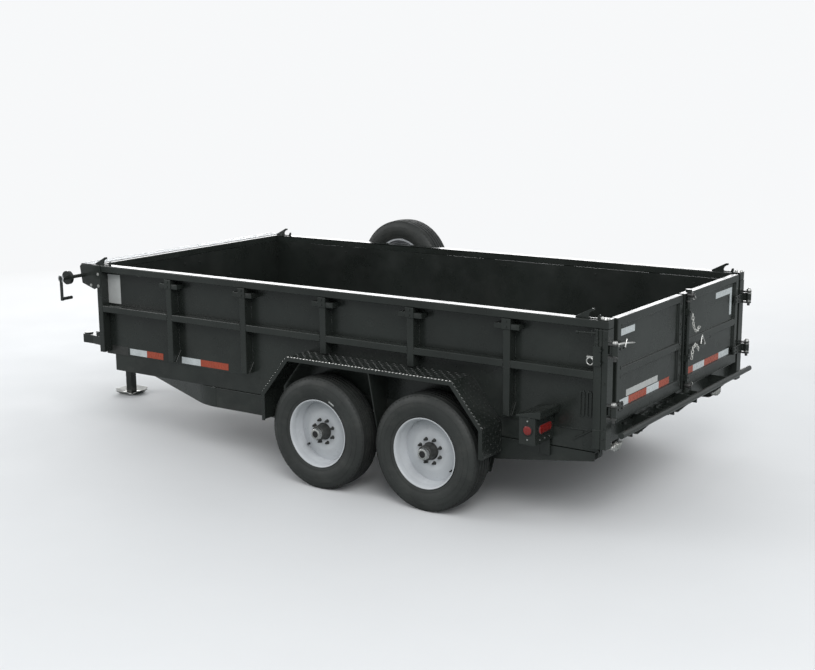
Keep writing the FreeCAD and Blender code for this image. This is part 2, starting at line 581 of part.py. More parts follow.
def swept_rail():
    """The bent front length of a rail: a C section carried along an arc and a line."""
    angle = tongue_turn()
    face, low = v["rail_face"], v["rail_low"]
    high, web, wide = low + v["rail_tall"], v["rail_web"], v["flange"]

    def swing(offset, turn):
        """A point of the bend, at a distance inside the outer face."""
        radius = v["bend_radius"] - offset
        return FreeCAD.Vector(v["rail_bend"] + radius * math.sin(turn),
                              face - v["bend_radius"] + radius * math.cos(turn), 0)

    def reach(point):
        """Where a line along the tongue from this point meets the coupler's rear face."""
        run = v["tongue_reach"] - point.x
        return FreeCAD.Vector(v["tongue_reach"], point.y - run * math.tan(angle), 0)

    def slab(inner, z0, z1):
        """A strip inside the outer face, along the bend and the tongue."""
        a, b, c = [swing(0, t) for t in (0, angle / 2, angle)]
        d, e, f = [swing(inner, t) for t in (angle, angle / 2, 0)]
        edges = [Part.Arc(a, b, c).toShape(), Part.makeLine(c, reach(c)),
                 Part.makeLine(reach(c), reach(d)), Part.makeLine(reach(d), d),
                 Part.Arc(d, e, f).toShape(), Part.makeLine(f, a)]
        flat = Part.Face(Part.Wire(edges))
        flat.translate(FreeCAD.Vector(0, 0, z0))
        return flat.extrude(FreeCAD.Vector(0, 0, z1 - z0))

    whole = slab(web, low, high)
    for z0, z1 in ((low, low + web), (high - web, high)):
        whole = whole.fuse(slab(wide, z0, z1))
    return whole.removeSplitter()


tongue = doc.addObject("Part::Feature", "tongue_rail")
tongue.Shape = swept_rail()
node("tongue_rails", *twins("tongue_twin", tongue))

# Chassis: cross members, the last one level with the rails' top
rail_in = "rail_face - flange"
crosses = [box("cross_member_%d" % i, "%s - cross_tall / 2" % x, "%s + cross_tall / 2" % x,
               "-(%s)" % rail_in, rail_in, z, plus(z, "cross_tall"))
           for i, (x, z) in enumerate((("cross_rear", "rail_low + rail_tall - cross_tall"),
                                       ("cross_second", "rail_low"),
                                       ("hoist_base_x", "rail_low"),
                                       (plus(axle_front_x, "cross_ahead"), "rail_low"),
                                       ("rail_bend - cross_back", "rail_low")))]
shelves = []
for i, x in enumerate(("box_back + shelf_wide", "box_back + box_long - 2 * shelf_wide")):
    reach = "%.3f" % (tongue_face(worth(x) + v["shelf_wide"]) - 1.2 * v["rail_web"])
    shelves.append(box("box_shelf_%d" % i, x, plus(x, "shelf_wide"), "-" + reach, reach,
                       "rail_low + rail_web", "box_low"))
node("chassis_crossmembers", *(crosses + shelves))

# Chassis: hinge ears either side of each bed ear, with the pin through them
chassis_ears = []
for number, (low, high) in enumerate((("hinge_y - ear_gap - ear_thick", "hinge_y - ear_gap"),
                                      ("hinge_y + ear_thick + ear_gap",
                                       "hinge_y + 2 * ear_thick + ear_gap"))):
    chassis_ears.append(prism("mount_plate_%d" % number, "XZ_Plane", [
        (eye_low, "hinge_z"), ("hinge_x", "hinge_z - hinge_eye"),
        ("cross_rear - cross_tall / 2", "rail_low + rail_tall - cross_tall"),
        ("cross_rear - cross_tall / 2", "rail_low + rail_tall"),
        ("hinge_x", "hinge_z + hinge_eye")], low, high))
    chassis_ears.append(rod("mount_eye_%d" % number, "y", "hinge_x", low, "hinge_z",
                            "hinge_eye", "ear_thick"))
chassis_ears.append(rod("mount_pin", "y", "hinge_x",
                        "hinge_y - ear_gap - ear_thick - pin_head", "hinge_z", "hinge_pin",
                        "3 * ear_thick + 2 * ear_gap + 2 * pin_head"))
node("hinge_mounts", *twins("hinge_mount_twin", fuse("hinge_mount", *chassis_ears)))

# Hoist: ears on the cross member, barrels that swing on them and rods that slide out
base = fuse("hoist_ears", *(clevis("base_eye", "hoist_base_x", "hoist_base_z",
                                   "rail_low + cross_tall", "hoist_base_z", "pin_head")
                            + [rod("base_pin", "y", "hoist_base_x",
                                   "hoist_y - eye_wide / 2 - clevis_gap - 1", "hoist_base_z",
                                   "clevis_pin", "eye_wide + 2 * clevis_gap + 2")]))
node("hoist_base", *twins("hoist_base_twin", base))
ram_rise = math.degrees(math.atan2(v["hoist_eye_z"] - v["hoist_base_z"],
                                   v["hoist_eye_x"] - v["hoist_base_x"]))
ram_tilt = FreeCAD.Rotation(FreeCAD.Vector(0, 1, 0), -ram_rise)
barrel_end = "ram_span - rod_show"
barrel = fuse("barrel_solid",
              rod("barrel_tube", "x", "barrel_dead", "0", "0", "barrel_radius",
                  less(barrel_end, "barrel_dead")),
              rod("barrel_gland", "x", less(barrel_end, "gland_long"), "0", "0",
                  "barrel_radius + 5", "gland_long"),
              rod("barrel_eye", "y", "0", "-eye_wide / 2", "0", "eye_radius", "eye_wide"),
              box("barrel_neck", "0", "barrel_dead", "-eye_wide / 2", "eye_wide / 2",
                  "-eye_radius * 0.7", "eye_radius * 0.7"))
bore = rod("barrel_bore", "x", less(barrel_end, "rod_hidden + 20"), "0", "0",
           "rod_radius + pin_gap", "rod_hidden + 21")
eye_bore = rod("barrel_eye_bore", "y", "0", "-eye_wide", "0", "clevis_pin + pin_gap",
               "2 * eye_wide")
barrel_cut = cut("barrel_cut", barrel, bore, eye_bore)
ram = fuse("ram_solid",
           rod("ram_rod", "x", less(barrel_end, "rod_hidden"), "0", "0", "rod_radius",
               "rod_hidden + rod_show"),
           rod("ram_rod_eye", "y", "ram_span", "-eye_wide / 2", "0", "eye_radius", "eye_wide"))
for label, source in (("cylinder_barrels", barrel_cut), ("cylinder_rods", ram)):
    placed = moved(label + "_left", source, "hoist_base_x", "hoist_y", "hoist_base_z", ram_tilt)
    node(label, *twins(label + "_twin", placed))

# Chassis: coupler with its ball socket, jack and foot
coupler_body = prism("coupler_neck", "XY_Plane", [
    ("tongue_reach", "-tongue_half"), ("coupler_tip - coupler_nose", "-coupler_half"),
    ("coupler_tip - nose_cut", "-coupler_half"), ("coupler_tip", "nose_cut - coupler_half"),
    ("coupler_tip", "coupler_half - nose_cut"), ("coupler_tip - nose_cut", "coupler_half"),
    ("coupler_tip - coupler_nose", "coupler_half"), ("tongue_reach", "tongue_half")],
    "coupler_z - coupler_tall / 2", "coupler_z + coupler_tall / 2")
dome = rod("coupler_dome", "z", "coupler_tip - socket_in", "0",
           "coupler_z + coupler_tall / 2 - 1", "coupler_half - 6", "dome_tall")
latch_end = "coupler_tip - coupler_nose - latch_back"
latch = box("coupler_latch", latch_end, plus(latch_end, "latch_long"), "-latch_half",
            "latch_half", "coupler_z + coupler_tall / 2 - 1",
            "coupler_z + coupler_tall / 2 + latch_tall")
socket = rod("coupler_socket", "z", "coupler_tip - socket_in", "0",
             "coupler_z - coupler_tall / 2 - 1", "ball_radius", "ball_deep + 1")
node("coupler", cut("coupler_cut", fuse("coupler_solid", coupler_body, dome, latch), socket))
jack_half = "jack_square / 2"
cap_half = "jack_square / 2 + cap_edge"
jack_tube = box("jack_tube", less("jack_x", jack_half), plus("jack_x", jack_half),
                "-" + jack_half, jack_half, "jack_low", "jack_top")
jack_cap = box("jack_cap", less("jack_x", cap_half), plus("jack_x", cap_half),
               "-(%s)" % cap_half, cap_half, "jack_top", "jack_top + cap_tall")
jack_leg = box("jack_leg", "jack_x - jack_inner / 2", "jack_x + jack_inner / 2",
               "-jack_inner / 2", "jack_inner / 2", "foot_thick", "jack_low")
crank_y = "-(%s)" % plus(jack_half, "crank_out")
jack_crank = rod("jack_crank", "y", "jack_x", crank_y, "jack_top - crank_drop", "crank_rod",
                 "crank_out + 1")
jack_grip = rod("jack_grip", "z", "jack_x", crank_y,
                "jack_top - crank_drop - hand_long", "crank_hand", plus("hand_long", "crank_hand + 5"))
plate_z = "rail_low + rail_tall"
plate_y = {end: tongue_face(v["jack_x"] + reach) - v["plate_edge"]
           for end, reach in (("back", -v["plate_back"]), ("front", v["plate_front"]))}
jack_plate = prism("jack_plate", "XY_Plane", [
    ("jack_x - plate_back", "-%.3f" % plate_y["back"]),
    ("jack_x + plate_front", "-%.3f" % plate_y["front"]),
    ("jack_x + plate_front", "%.3f" % plate_y["front"]),
    ("jack_x - plate_back", "%.3f" % plate_y["back"])], plate_z, plus(plate_z, "plate_thick"))
node("jack", fuse("jack_solid", jack_tube, jack_cap, jack_leg, jack_crank, jack_grip,
                  jack_plate))
foot_flat = box("foot_flat", "jack_x - foot_flat / 2", "jack_x + foot_flat / 2",
                "-foot_flat / 2", "foot_flat / 2", "0", "foot_thick")
wing = prism("foot_wing", "XZ_Plane", [
    ("foot_flat / 2", "0"), ("jack_foot / 2", "foot_rise"),
    ("jack_foot / 2", "foot_rise + foot_thick"), ("foot_flat / 2", "foot_thick")],
    "-foot_flat / 2", "foot_flat / 2")
wings = []
for i in range(4):
    turned_wing = doc.addObject("Part::Compound", "foot_wing_%d" % i)
    turned_wing.Links = [wing]
    turned_wing.Placement.Rotation = FreeCAD.Rotation(FreeCAD.Vector(0, 0, 1), 90 * i)
    wings.append(moved("foot_side_%d" % i, turned_wing, "jack_x", "0", "0"))
node("jack_foot", fuse("foot_solid", foot_flat, *wings))

# Chassis: box for pump and battery between the tongue rails, with its hinged lid
box_front = "box_back + box_long"
shell = box("box_outer", "box_back", box_front, "-box_half", "box_half", "box_low", "box_top")
room = box("box_room", "box_back + box_sheet", less(box_front, "box_sheet"),
           "-box_half + box_sheet", "box_half - box_sheet", "box_low + box_sheet",
           "box_top + 1")
lid_pivot = ("box_back - lid_pin_back", "box_top + lid_pin")
hinge_parts = [rod("lid_hinge_pin", "y", lid_pivot[0], "-box_half", lid_pivot[1], "lid_pin",
                   "2 * box_half")]
for i, y in enumerate(("-box_half", "-lid_lug / 2", "box_half - lid_lug")):
    hinge_parts.append(rod("lid_lug_%d" % i, "y", lid_pivot[0], y, lid_pivot[1],
                           "lid_knuckle", "lid_lug"))
    hinge_parts.append(box("lid_lug_foot_%d" % i, less("box_back", "lid_pin_back"),
                           "box_back", y, plus(y, "lid_lug"), "box_top - 3 * lid_knuckle",
                           "box_top - 1"))
box_shell = cut("box_shell", shell, room)
node("tongue_box", fuse("box_set", box_shell, *hinge_parts))
lid_parts = [box("lid_top", "box_back", "box_back + box_long + box_lap",
                 "-box_half - box_lap", "box_half + box_lap", "box_top + lid_gap",
                 "box_top + lid_gap + box_sheet"),
             box("lid_lip", "box_back + box_long + box_lap - box_sheet",
                 "box_back + box_long + box_lap", "-box_half - box_lap",
                 "box_half + box_lap", "box_top - lid_drop", "box_top + lid_gap")]
for i, y in enumerate(("-box_half + lid_lug + 3", "lid_lug / 2 + 3")):
    length = "box_half - 1.5 * lid_lug - 6"
    lid_parts.append(rod("lid_eye_%d" % i, "y", lid_pivot[0], y, lid_pivot[1],
                         "lid_knuckle", length))
    lid_parts.append(box("lid_leaf_%d" % i, less("box_back", "lid_pin_back"), "box_back",
                         y, plus(y, length), "box_top + lid_gap",
                         "box_top + lid_gap + box_sheet"))
lid_bore = rod("lid_bore", "y", lid_pivot[0], "-box_half - 10", lid_pivot[1],
               "lid_pin + pin_gap", "2 * box_half + 20")
node("tongue_box_lid", cut("lid_cut", fuse("lid_solid", *lid_parts), lid_bore))

# Running gear: fenders of folded sheet with a turned-down outer lip
fender_mid = "axle_rear_x + axle_pitch / 2"


KNEE_SHARE, TOP_SHARE = 0.4, 0.5


def fender_path(drop):
    """The fender's outline, front foot to rear foot; the shares keep an offset even."""
    top, knee, low = "fender_top - %s" % drop, "fender_half_top", "fender_half_knee"
    knee_z = "fender_knee - %s * %.1f" % (drop, KNEE_SHARE)
    top_x = less(knee, "%s * %.1f" % (drop, TOP_SHARE))
    return [(plus(fender_mid, less(low, drop)), "fender_low"),
            (plus(fender_mid, less(low, drop)), knee_z), (plus(fender_mid, top_x), top),
            (less(fender_mid, top_x), top), (less(fender_mid, less(low, drop)), knee_z),
            (less(fender_mid, less(low, drop)), "fender_low")]


skin = prism("fender_skin", "XZ_Plane",
             fender_path("0") + fender_path("fender_sheet")[::-1], "fender_in", "fender_out")
lip = prism("fender_edge", "XZ_Plane",
            fender_path("0") + fender_path("fender_lip")[::-1],
            "fender_out - fender_sheet", "fender_out")
fender = fuse("fender_solid", skin, lip)
node("fender_left", fender)
node("fender_right", mirror("fender_twin", fender))
stays = [prism("stay_mid", "YZ_Plane", [
    ("rail_face", "rail_low + 20"), ("rail_face", "rail_low + rail_tall - 10"),
    ("fender_in", "rail_low + rail_tall + 40"), ("fender_in", "fender_top - fender_sheet"),
    ("fender_out - fender_lip", "fender_top - fender_sheet"),
    ("fender_in + stay_out", "rail_low + 20")],
    less(fender_mid, "stay_thick / 2"), plus(fender_mid, "stay_thick / 2"))]
for i, x in enumerate((less(fender_mid, "fender_half_knee"),
                       plus(fender_mid, "fender_half_knee - fender_sheet - stay_long"))):
    shift = "fender_sheet" if i == 0 else "0"
    stays.append(box("stay_foot_%d" % i, plus(x, shift), plus(x, shift, "stay_long"),
                     "rail_face", "fender_in + stay_out", "fender_low + 10",
                     "fender_low + 80"))
node("fender_stays", *twins("stay_twin", fuse("stay_set", *stays)))

# Lamps: a hooded box on each side, its rear lamp and the round marker on its side
case = box("lamp_case", "lamp_back", "lamp_front", "fender_in", "lamp_face", "lamp_low",
           "lamp_top")
hood = prism("lamp_hood", "XZ_Plane", [
    ("lamp_back - 30", "lamp_top"), ("lamp_front + 18", "lamp_top"),
    ("lamp_front + 18", "lamp_top + 12"), ("lamp_back - 30", "lamp_top + 46"),
    ("lamp_back - 36", "lamp_top + 42"), ("lamp_back - 36", "lamp_top")],
    "fender_in", "lamp_face + 4")
arm = box("lamp_arm", "lamp_back + 20", "lamp_front - 20", "rail_face", "rail_face + 11",
          "rail_low + 90", "rail_low + rail_tall - 6")
post = box("lamp_post", "lamp_back + 20", "lamp_front - 20", "fender_in", "fender_in + 12",
           "rail_low + 90", "lamp_low")
node("lamp_boxes", *twins("lamp_box_twin", fuse("lamp_box", case, hood, arm, post)))
rear_lens = box("rear_lens", "lamp_back - 12", "lamp_back", "lamp_in_y", "lamp_face - 30",
                "lamp_low + 48", "lamp_low + 108")
marker = rod("marker_lens", "y", "(lamp_back + lamp_front) / 2", "lamp_face",
             "lamp_low + 107", "marker_radius", "8")
node("lamps", *(twins("rear_lens_twin", rear_lens) + twins("marker_twin", marker)))

# Axles: dropped tubes with an upright and a spindle at each end
axles = []
for i in range(2):
    x = "axle_rear_x + %d * axle_pitch" % i
    tube = rod("axle_tube_%d" % i, "y", x, "-rail_face", "tyre_radius - axle_drop",
               "axle_radius", "2 * rail_face")
    arm_low = "tyre_radius - axle_drop - axle_radius"
    upright = box("knuckle_%d" % i, less(x, "axle_radius"), plus(x, "axle_radius"),
                  "rail_face", "rail_face + knuckle_thick", arm_low,
                  "tyre_radius + axle_radius")
    spindle = rod("spindle_%d" % i, "y", x, "rail_face + knuckle_thick - 1", "tyre_radius",
                  "spindle_radius", "spindle_long + 1")
    half = fuse("axle_half_%d" % i, upright, spindle)
    axles.append(fuse("axle_%d" % i, tube, half, mirror("axle_half_twin_%d" % i, half)))
node("axles", *axles)


def leaf(half, centre_z, sag, thick):
    """One curved leaf, lower at its middle."""
    ends = [FreeCAD.Vector(side * half, 0, centre_z) for side in (-1, 1)]
    low = FreeCAD.Vector(0, 0, centre_z - sag)
    drop = FreeCAD.Vector(0, 0, thick)
    edges = [Part.Arc(ends[0], low, ends[1]).toShape(),
             Part.makeLine(ends[1], ends[1] - drop),
             Part.Arc(ends[1] - drop, low - drop, ends[0] - drop).toShape(),
             Part.makeLine(ends[0] - drop, ends[0])]
    flat = Part.Face(Part.Wire(edges))
    solid = flat.extrude(FreeCAD.Vector(0, v["spring_wide"], 0))
    solid.translate(FreeCAD.Vector(0, v["spring_y"] - v["spring_wide"] / 2, 0))
    return solid


# Springs: three leaves under each axle's seat, the top one with an eye at each end
pack_top = v["tyre_radius"] - v["axle_drop"] - v["axle_radius"] - v["seat_tall"]
sag = v["eye_z"] - v["spring_eye"] - pack_top
spring_set = leaf(v["spring_half"], pack_top + sag, sag, v["leaf_thick"])
for number, share in ((1, 0.74), (2, 0.5)):
    spring_set = spring_set.fuse(leaf(v["spring_half"] * share,
                                      pack_top - number * v["leaf_thick"] + sag * share ** 2,
                                      sag * share ** 2, v["leaf_thick"]))
leaves = doc.addObject("Part::Feature", "leaf_pack")
leaves.Shape = spring_set
spring_low = "spring_y - spring_wide / 2"
spring_parts = [leaves]
for i, sign in enumerate((-1, 1)):
    spring_parts.append(rod("spring_eye_%d" % i, "y", "%d * spring_half" % sign, spring_low,
                            "eye_z - 1", "spring_eye", "spring_wide"))
seat_low = "tyre_radius - axle_drop - axle_radius - seat_tall"
spring_parts.append(box("spring_seat", "-seat_half", "seat_half", spring_low,
                        plus(spring_low, "spring_wide"), seat_low,
                        plus(seat_low, "seat_tall")))
spring_parts.append(box("spring_plate", "-seat_half - 8", "seat_half + 8",
                        less(spring_low, "10"), plus(spring_low, "spring_wide + 10"),
                        less(seat_low, "3 * leaf_thick + 10"),
                        less(seat_low, "3 * leaf_thick")))
spring = fuse("spring", *spring_parts)
springs = []
for i in range(2):
    springs += twins("spring_twin_%d" % i,
                     moved("spring_at_%d" % i, spring, "axle_rear_x + %d * axle_pitch" % i,
                           "0", "0"))
node("leaf_springs", *springs)

# Hangers: plates either side of the end eyes, and the rocker between the two springs
hangers = []
for i, x in enumerate(("axle_rear_x - spring_half", "axle_rear_x + axle_pitch + spring_half")):
    for j, y in enumerate((less(spring_low, "hanger"),
                           plus(spring_low, "spring_wide"))):
        hangers.append(prism("hanger_%d_%d" % (i, j), "XZ_Plane", [
            (less(x, "48"), "rail_low"), (less(x, "20"), "eye_z - 22"),
            (plus(x, "20"), "eye_z - 22"), (plus(x, "48"), "rail_low")],
            y, plus(y, "hanger")))
for j, y in enumerate((less(spring_low, "hanger"),
                       plus(spring_low, "spring_wide"))):
    hangers.append(prism("rocker_%d" % j, "XZ_Plane", [
        (plus("axle_rear_x", "spring_half - 22"), "eye_z + 8"),
        (plus("axle_rear_x", "spring_half - 22"), "eye_z - 20"),
        (plus("axle_rear_x + axle_pitch", "22 - spring_half"), "eye_z - 20"),
        (plus("axle_rear_x + axle_pitch", "22 - spring_half"), "eye_z + 8"),
        (plus(fender_mid, "34"), "eye_z + 44"), (less(fender_mid, "34"), "eye_z + 44")],
        y, plus(y, "hanger")))
hangers.append(box("rocker_post", less(fender_mid, "26"), plus(fender_mid, "26"),
                   spring_low, plus(spring_low, "spring_wide"), "eye_z", "rail_low"))
node("spring_hangers", *twins("hanger_twin", group("hanger_set", *hangers)))

# Wheels: a tyre, a dished rim and a hub on each spindle
TYRE = [
    # distance inside the tread, share of half the tyre's width
    ("tyre_deep", 0.80), ("tyre_deep - 22", 0.80), ("tyre_deep - 46", 0.93),
    ("tyre_deep * 0.52", 1.0), ("tyre_deep * 0.27", 0.955), ("tyre_deep * 0.10", 0.85),
    ("0", 0.72),
]
half_tyre = "tyre_wide / 2"
tyre_points = ([("tyre_radius - (%s)" % deep, "-%s * %s" % (half_tyre, share))
                for deep, share in TYRE]
               + [("tyre_radius - (%s)" % deep, "%s * %s" % (half_tyre, share))
                  for deep, share in TYRE[::-1]])
tyre = turned("tyre_form", tyre_points, "0", "0", "0")
rim_out = "tyre_radius - tyre_deep"
rim_in = "tyre_radius - tyre_deep - rim_sheet"
edge = "%s * 0.80" % half_tyre
rim_points = [
    (rim_out, "-" + edge), ("rim_radius", "-%s - 0.5" % edge),
    ("rim_radius", "-%s - 6" % edge), (rim_in, "-%s - 6" % edge),
    (rim_in, "disc_out - disc_dish - disc_sheet"),
    ("disc_flat", "disc_out - disc_sheet"), ("hub_radius", "disc_out - disc_sheet"),
    ("hub_radius", "disc_out"), ("disc_flat", "disc_out"), (rim_in, "disc_out - disc_dish"),
    (rim_in, edge + " + 6"), ("rim_radius", edge + " + 6"), ("rim_radius", edge + " + 0.5"),
    (rim_out, edge)]
rim = turned("rim_form", rim_points, "0", "0", "0")
hub_points = [
    ("spindle_radius + pin_gap", "hub_back"), ("drum_radius", "hub_back"),
    ("drum_radius", "disc_out - disc_sheet - 18"), ("lug_circle + 26", "disc_out - disc_sheet"),
    ("hub_radius - 0.2", "disc_out - disc_sheet"), ("hub_radius - 0.2", "hub_cap - 26 - hub_mid"),
    ("hub_radius - 18", "hub_cap - 22 - hub_mid"), ("hub_radius - 18", "hub_cap - 4 - hub_mid"),
    ("hub_radius - 24", "hub_cap - hub_mid"), ("0", "hub_cap - hub_mid"),
    ("0", "spindle_end"), ("spindle_radius + pin_gap", "spindle_end")]
hub_turned = turned("hub_form", hub_points, "0", "0", "0")
STUDS = 8
lug_nuts, studs, holes = [], [], []
for i in range(STUDS):
    turn = 2 * math.pi * (i + 0.5) / STUDS
    lug_x, lug_z = ["lug_circle * %.9f" % share for share in (math.cos(turn), math.sin(turn))]
    nut = feature("Part::Prism", "lug_nut_%d" % i, Circumradius="lug_nut", Height="lug_tall",
                  Placement__Base__x=lug_x, Placement__Base__y="disc_out",
                  Placement__Base__z=lug_z)
    nut.Polygon = 6
    nut.Placement.Rotation = TURNS["y"]
    lug_nuts.append(nut)
    studs.append(rod("stud_%d" % i, "y", lug_x, "disc_out - disc_sheet", lug_z, "stud",
                     "disc_sheet + lug_tall + 8"))
    holes.append(rod("stud_hole_%d" % i, "y", lug_x, "disc_out - disc_dish - disc_sheet - 1",
                     lug_z, "stud + 0.2", "disc_dish + disc_sheet + 2"))
hub = fuse("hub_solid", hub_turned, *(lug_nuts + studs))
rim_drilled = cut("rim_drilled", rim, *holes)
CORNERS = [
    # name, which axle, side
    ("rear_left", 0, 1), ("front_left", 1, 1), ("rear_right", 0, -1), ("front_right", 1, -1),
]
outwards = {1: None, -1: FreeCAD.Rotation(FreeCAD.Vector(0, 0, 1), 180)}
for name, axle, side in CORNERS:
    for part_name, source in (("tyre", tyre), ("rim", rim_drilled), ("hub", hub)):
        label = "%s_%s" % (part_name, name)
        node(label, moved(label + "_at", source, "axle_rear_x + %d * axle_pitch" % axle,
                          "%d * hub_mid" % side, "tyre_radius", outwards[side]))

# Spare wheel on its bracket at the right side, its outer face away from the bed
spare_mid = "-(spare_y + tyre_wide / 2)"
node("spare_tyre", moved("spare_tyre_at", tyre, "spare_x", spare_mid, "spare_z",
                         outwards[-1]))
node("spare_rim", moved("spare_rim_at", rim_drilled, "spare_x", spare_mid, "spare_z",
                        outwards[-1]))
carrier_y = "spare_y + tyre_wide / 2 + disc_out - disc_sheet"
carrier = [
    box("carrier_bar", "spare_x - carrier_half", "spare_x + carrier_half",
        "-(%s)" % plus(post_out, "carrier"), "-(%s)" % post_out, "mid_rail_low",
        "mid_rail_low + rail_tube"),
    box("carrier_upright", "spare_x - 30", "spare_x + 30",
        "-(%s)" % plus(post_out, "carrier"), "-(%s)" % post_out, "mid_rail_low",
        "bed_top"),
    rod("carrier_tube", "y", "spare_x", "-(%s)" % carrier_y, "spare_z", "hub_radius - 8",
        less(carrier_y, post_out)),
    rod("carrier_flange", "y", "spare_x", "-(%s)" % carrier_y, "spare_z", "lug_circle + 22",
        "10"),
]
node("spare_bracket", fuse("carrier_set", *carrier))

# Tarp kit across the front: housing, rolled tarp, end brackets and hand crank
front_face = "bed_length + post_deep"
housing = prism("tarp_case", "XZ_Plane", [
    (front_face, "bed_top - 36"), (front_face, "bed_top"), (less(front_face, "30"), "bed_top"),
    (less(front_face, "30"), "bed_top + 4"), (plus(front_face, "37"), "bed_top + 4"),
    (plus(front_face, "81"), "bed_top - 22"), (plus(front_face, "81"), "bed_top - 28"),
    (plus(front_face, "33"), "bed_top - 2"), (plus(front_face, "5"), "bed_top - 2"),
    (plus(front_face, "5"), "bed_top - 36")],
    "-(%s)" % post_out, post_out)
node("tarp_housing", housing)
tarp_axis_x = "bed_length + post_deep + tarp_gap + tarp_radius"
tarp_axis_z = "bed_top - tarp_drop - tarp_radius"
cloth_half = less(post_out, "cloth_in")
roll = rod("tarp_cloth", "y", tarp_axis_x, "-(%s)" % cloth_half, tarp_axis_z,
           "tarp_radius", "2 * (%s)" % cloth_half)
core = rod("tarp_core", "y", tarp_axis_x, "-(%s)" % post_out, tarp_axis_z, "tarp_shaft",
           "2 * (%s)" % post_out)
node("tarp_roll", fuse("tarp_roll_set", roll, core))
cheek = prism("tarp_cheek", "XZ_Plane", [
    ("bed_length - post_wide", "bed_top - rail_tube"),
    ("bed_length - post_wide", "bed_top - cheek_tall + 30"),
    ("bed_length + 20", "bed_top - cheek_tall"),
    ("bed_length + cheek_long", "bed_top - cheek_tall + 40"),
    ("bed_length + cheek_long + 20", "bed_top - 20"), ("bed_length + cheek_long", "bed_top"),
    ("bed_length - post_wide", "bed_top")],
    post_out, plus(post_out, "tarp_cheek"))
node("tarp_brackets", *twins("cheek_twin", cheek))
cheek_face = plus(post_out, "tarp_cheek")
shaft = rod("crank_shaft", "y", tarp_axis_x, cheek_face, tarp_axis_z, "tarp_shaft",
            less("crank_face", plus(cheek_face, "20")))
disc = rod("crank_disc", "y", tarp_axis_x, "crank_face - 60 - crank_thick", tarp_axis_z,
           "crank_disc", "crank_thick")
crank_arm = box("crank_arm", "%s - 12" % tarp_axis_x, "%s + 12" % tarp_axis_x,
                "crank_face - 10", "crank_face", "%s - crank_long" % tarp_axis_z,
                "%s + 20" % tarp_axis_z)
shaft_end = rod("crank_hub", "y", tarp_axis_x, "crank_face - 30", tarp_axis_z, "18", "30")
grip = rod("crank_grip", "y", tarp_axis_x, "crank_face - crank_grip",
           "%s - crank_long + 14" % tarp_axis_z, "13", "crank_grip")
node("tarp_crank", fuse("crank_set", shaft, shaft_end, disc, crank_arm, grip))

# Write every node, once the whole document has been found sound
doc.recompute()
faults = [thing.Label for thing in doc.Objects
          if "Invalid" in thing.State or "Error" in thing.State]
faults += [thing.Label for thing in nodes if thing.Shape.isNull() or not thing.Shape.isValid()
           or not thing.Shape.Solids]
if faults:
    raise RuntimeError("not sound: " + ", ".join(faults))
for thing in nodes:
    thing.Shape.exportStep("parts/%s.step" % thing.Label)
box_all = FreeCAD.BoundBox()
for thing in nodes:
    box_all.add(thing.Shape.BoundBox)
print(len(nodes), "nodes", box_all)
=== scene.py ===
"""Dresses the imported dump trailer: paint, tyres, wheels, tapes, door and hoist fittings."""

import json
import math

import bmesh
import bpy
from bpy.props import FloatProperty, FloatVectorProperty, IntProperty, PointerProperty
from mathutils import Matrix, Vector


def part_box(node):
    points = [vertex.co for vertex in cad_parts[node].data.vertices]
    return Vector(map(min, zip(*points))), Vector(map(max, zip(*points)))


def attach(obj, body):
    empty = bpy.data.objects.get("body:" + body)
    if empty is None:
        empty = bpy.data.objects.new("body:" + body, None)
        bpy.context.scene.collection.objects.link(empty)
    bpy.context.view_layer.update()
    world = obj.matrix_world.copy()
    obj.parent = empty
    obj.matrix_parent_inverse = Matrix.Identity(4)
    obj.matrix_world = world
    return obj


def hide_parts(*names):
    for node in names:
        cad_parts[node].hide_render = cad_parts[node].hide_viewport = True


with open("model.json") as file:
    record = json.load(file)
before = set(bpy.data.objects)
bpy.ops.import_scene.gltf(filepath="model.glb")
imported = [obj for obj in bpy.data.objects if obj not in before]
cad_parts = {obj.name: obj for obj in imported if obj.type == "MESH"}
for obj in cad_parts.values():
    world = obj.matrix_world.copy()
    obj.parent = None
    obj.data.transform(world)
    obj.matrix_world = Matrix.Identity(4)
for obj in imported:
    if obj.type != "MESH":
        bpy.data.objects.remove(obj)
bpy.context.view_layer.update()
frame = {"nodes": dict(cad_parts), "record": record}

bl_info = {
    "name": "Dump Trailer Dressing",
    "version": (1, 0, 0),
    "blender": (4, 5, 0),
    "location": "3D View > Sidebar > Trailer",
    "description": "Builds the finished pieces of a tandem dump trailer on its frame",
    "category": "Object",
}

# The bed's rear floor edge stands this far behind the middle of the trailer's length.
MIDDLE = 2.778
# From the trailer's middle plane to the outer faces of the side sheets and of the posts.
SHEET_FACE, POST_FACE = 1.0455, 1.1195
# The door sheets' outer face, from the bed's rear edge.
DOOR_SHEET = -0.04
# A wheel disc's outer face stands this far outside the tyre's middle.
DISC_FACE = 0.012
# A wheel's lug circle, and the tyre's radius and half width at its beads.
LUG_CIRCLE, BEAD_RADIUS, BEAD_HALF = 0.0825, 0.2375, 0.083
LUGS = [math.radians(22.5 + 45.0 * number) for number in range(8)]
# The latch bar's middle on the right door, and the rams' middle lines, from the middle plane.
LATCH, RAM = -0.04, 0.23
# The axles' middles and the jack's, from the bed's rear edge.
AXLES, JACK = (1.162, 2.034), 5.14
WHEELS = ("rear_left", "front_left", "rear_right", "front_right")
UP, LEFT, AHEAD, BACK = (0.0, 0.0, 1.0), (0.0, 1.0, 0.0), (1.0, 0.0, 0.0), (-1.0, 0.0, 0.0)
EVEN = (1.0, 1.0, 1.0)
# The trailer's left and right side.
SIDES = (1.0, -1.0)


def at(x, y, z):
    """A point measured forwards from the bed's rear floor edge, in the model's own place."""
    return Vector((x - MIDDLE, y, z))


# Sizes and colours

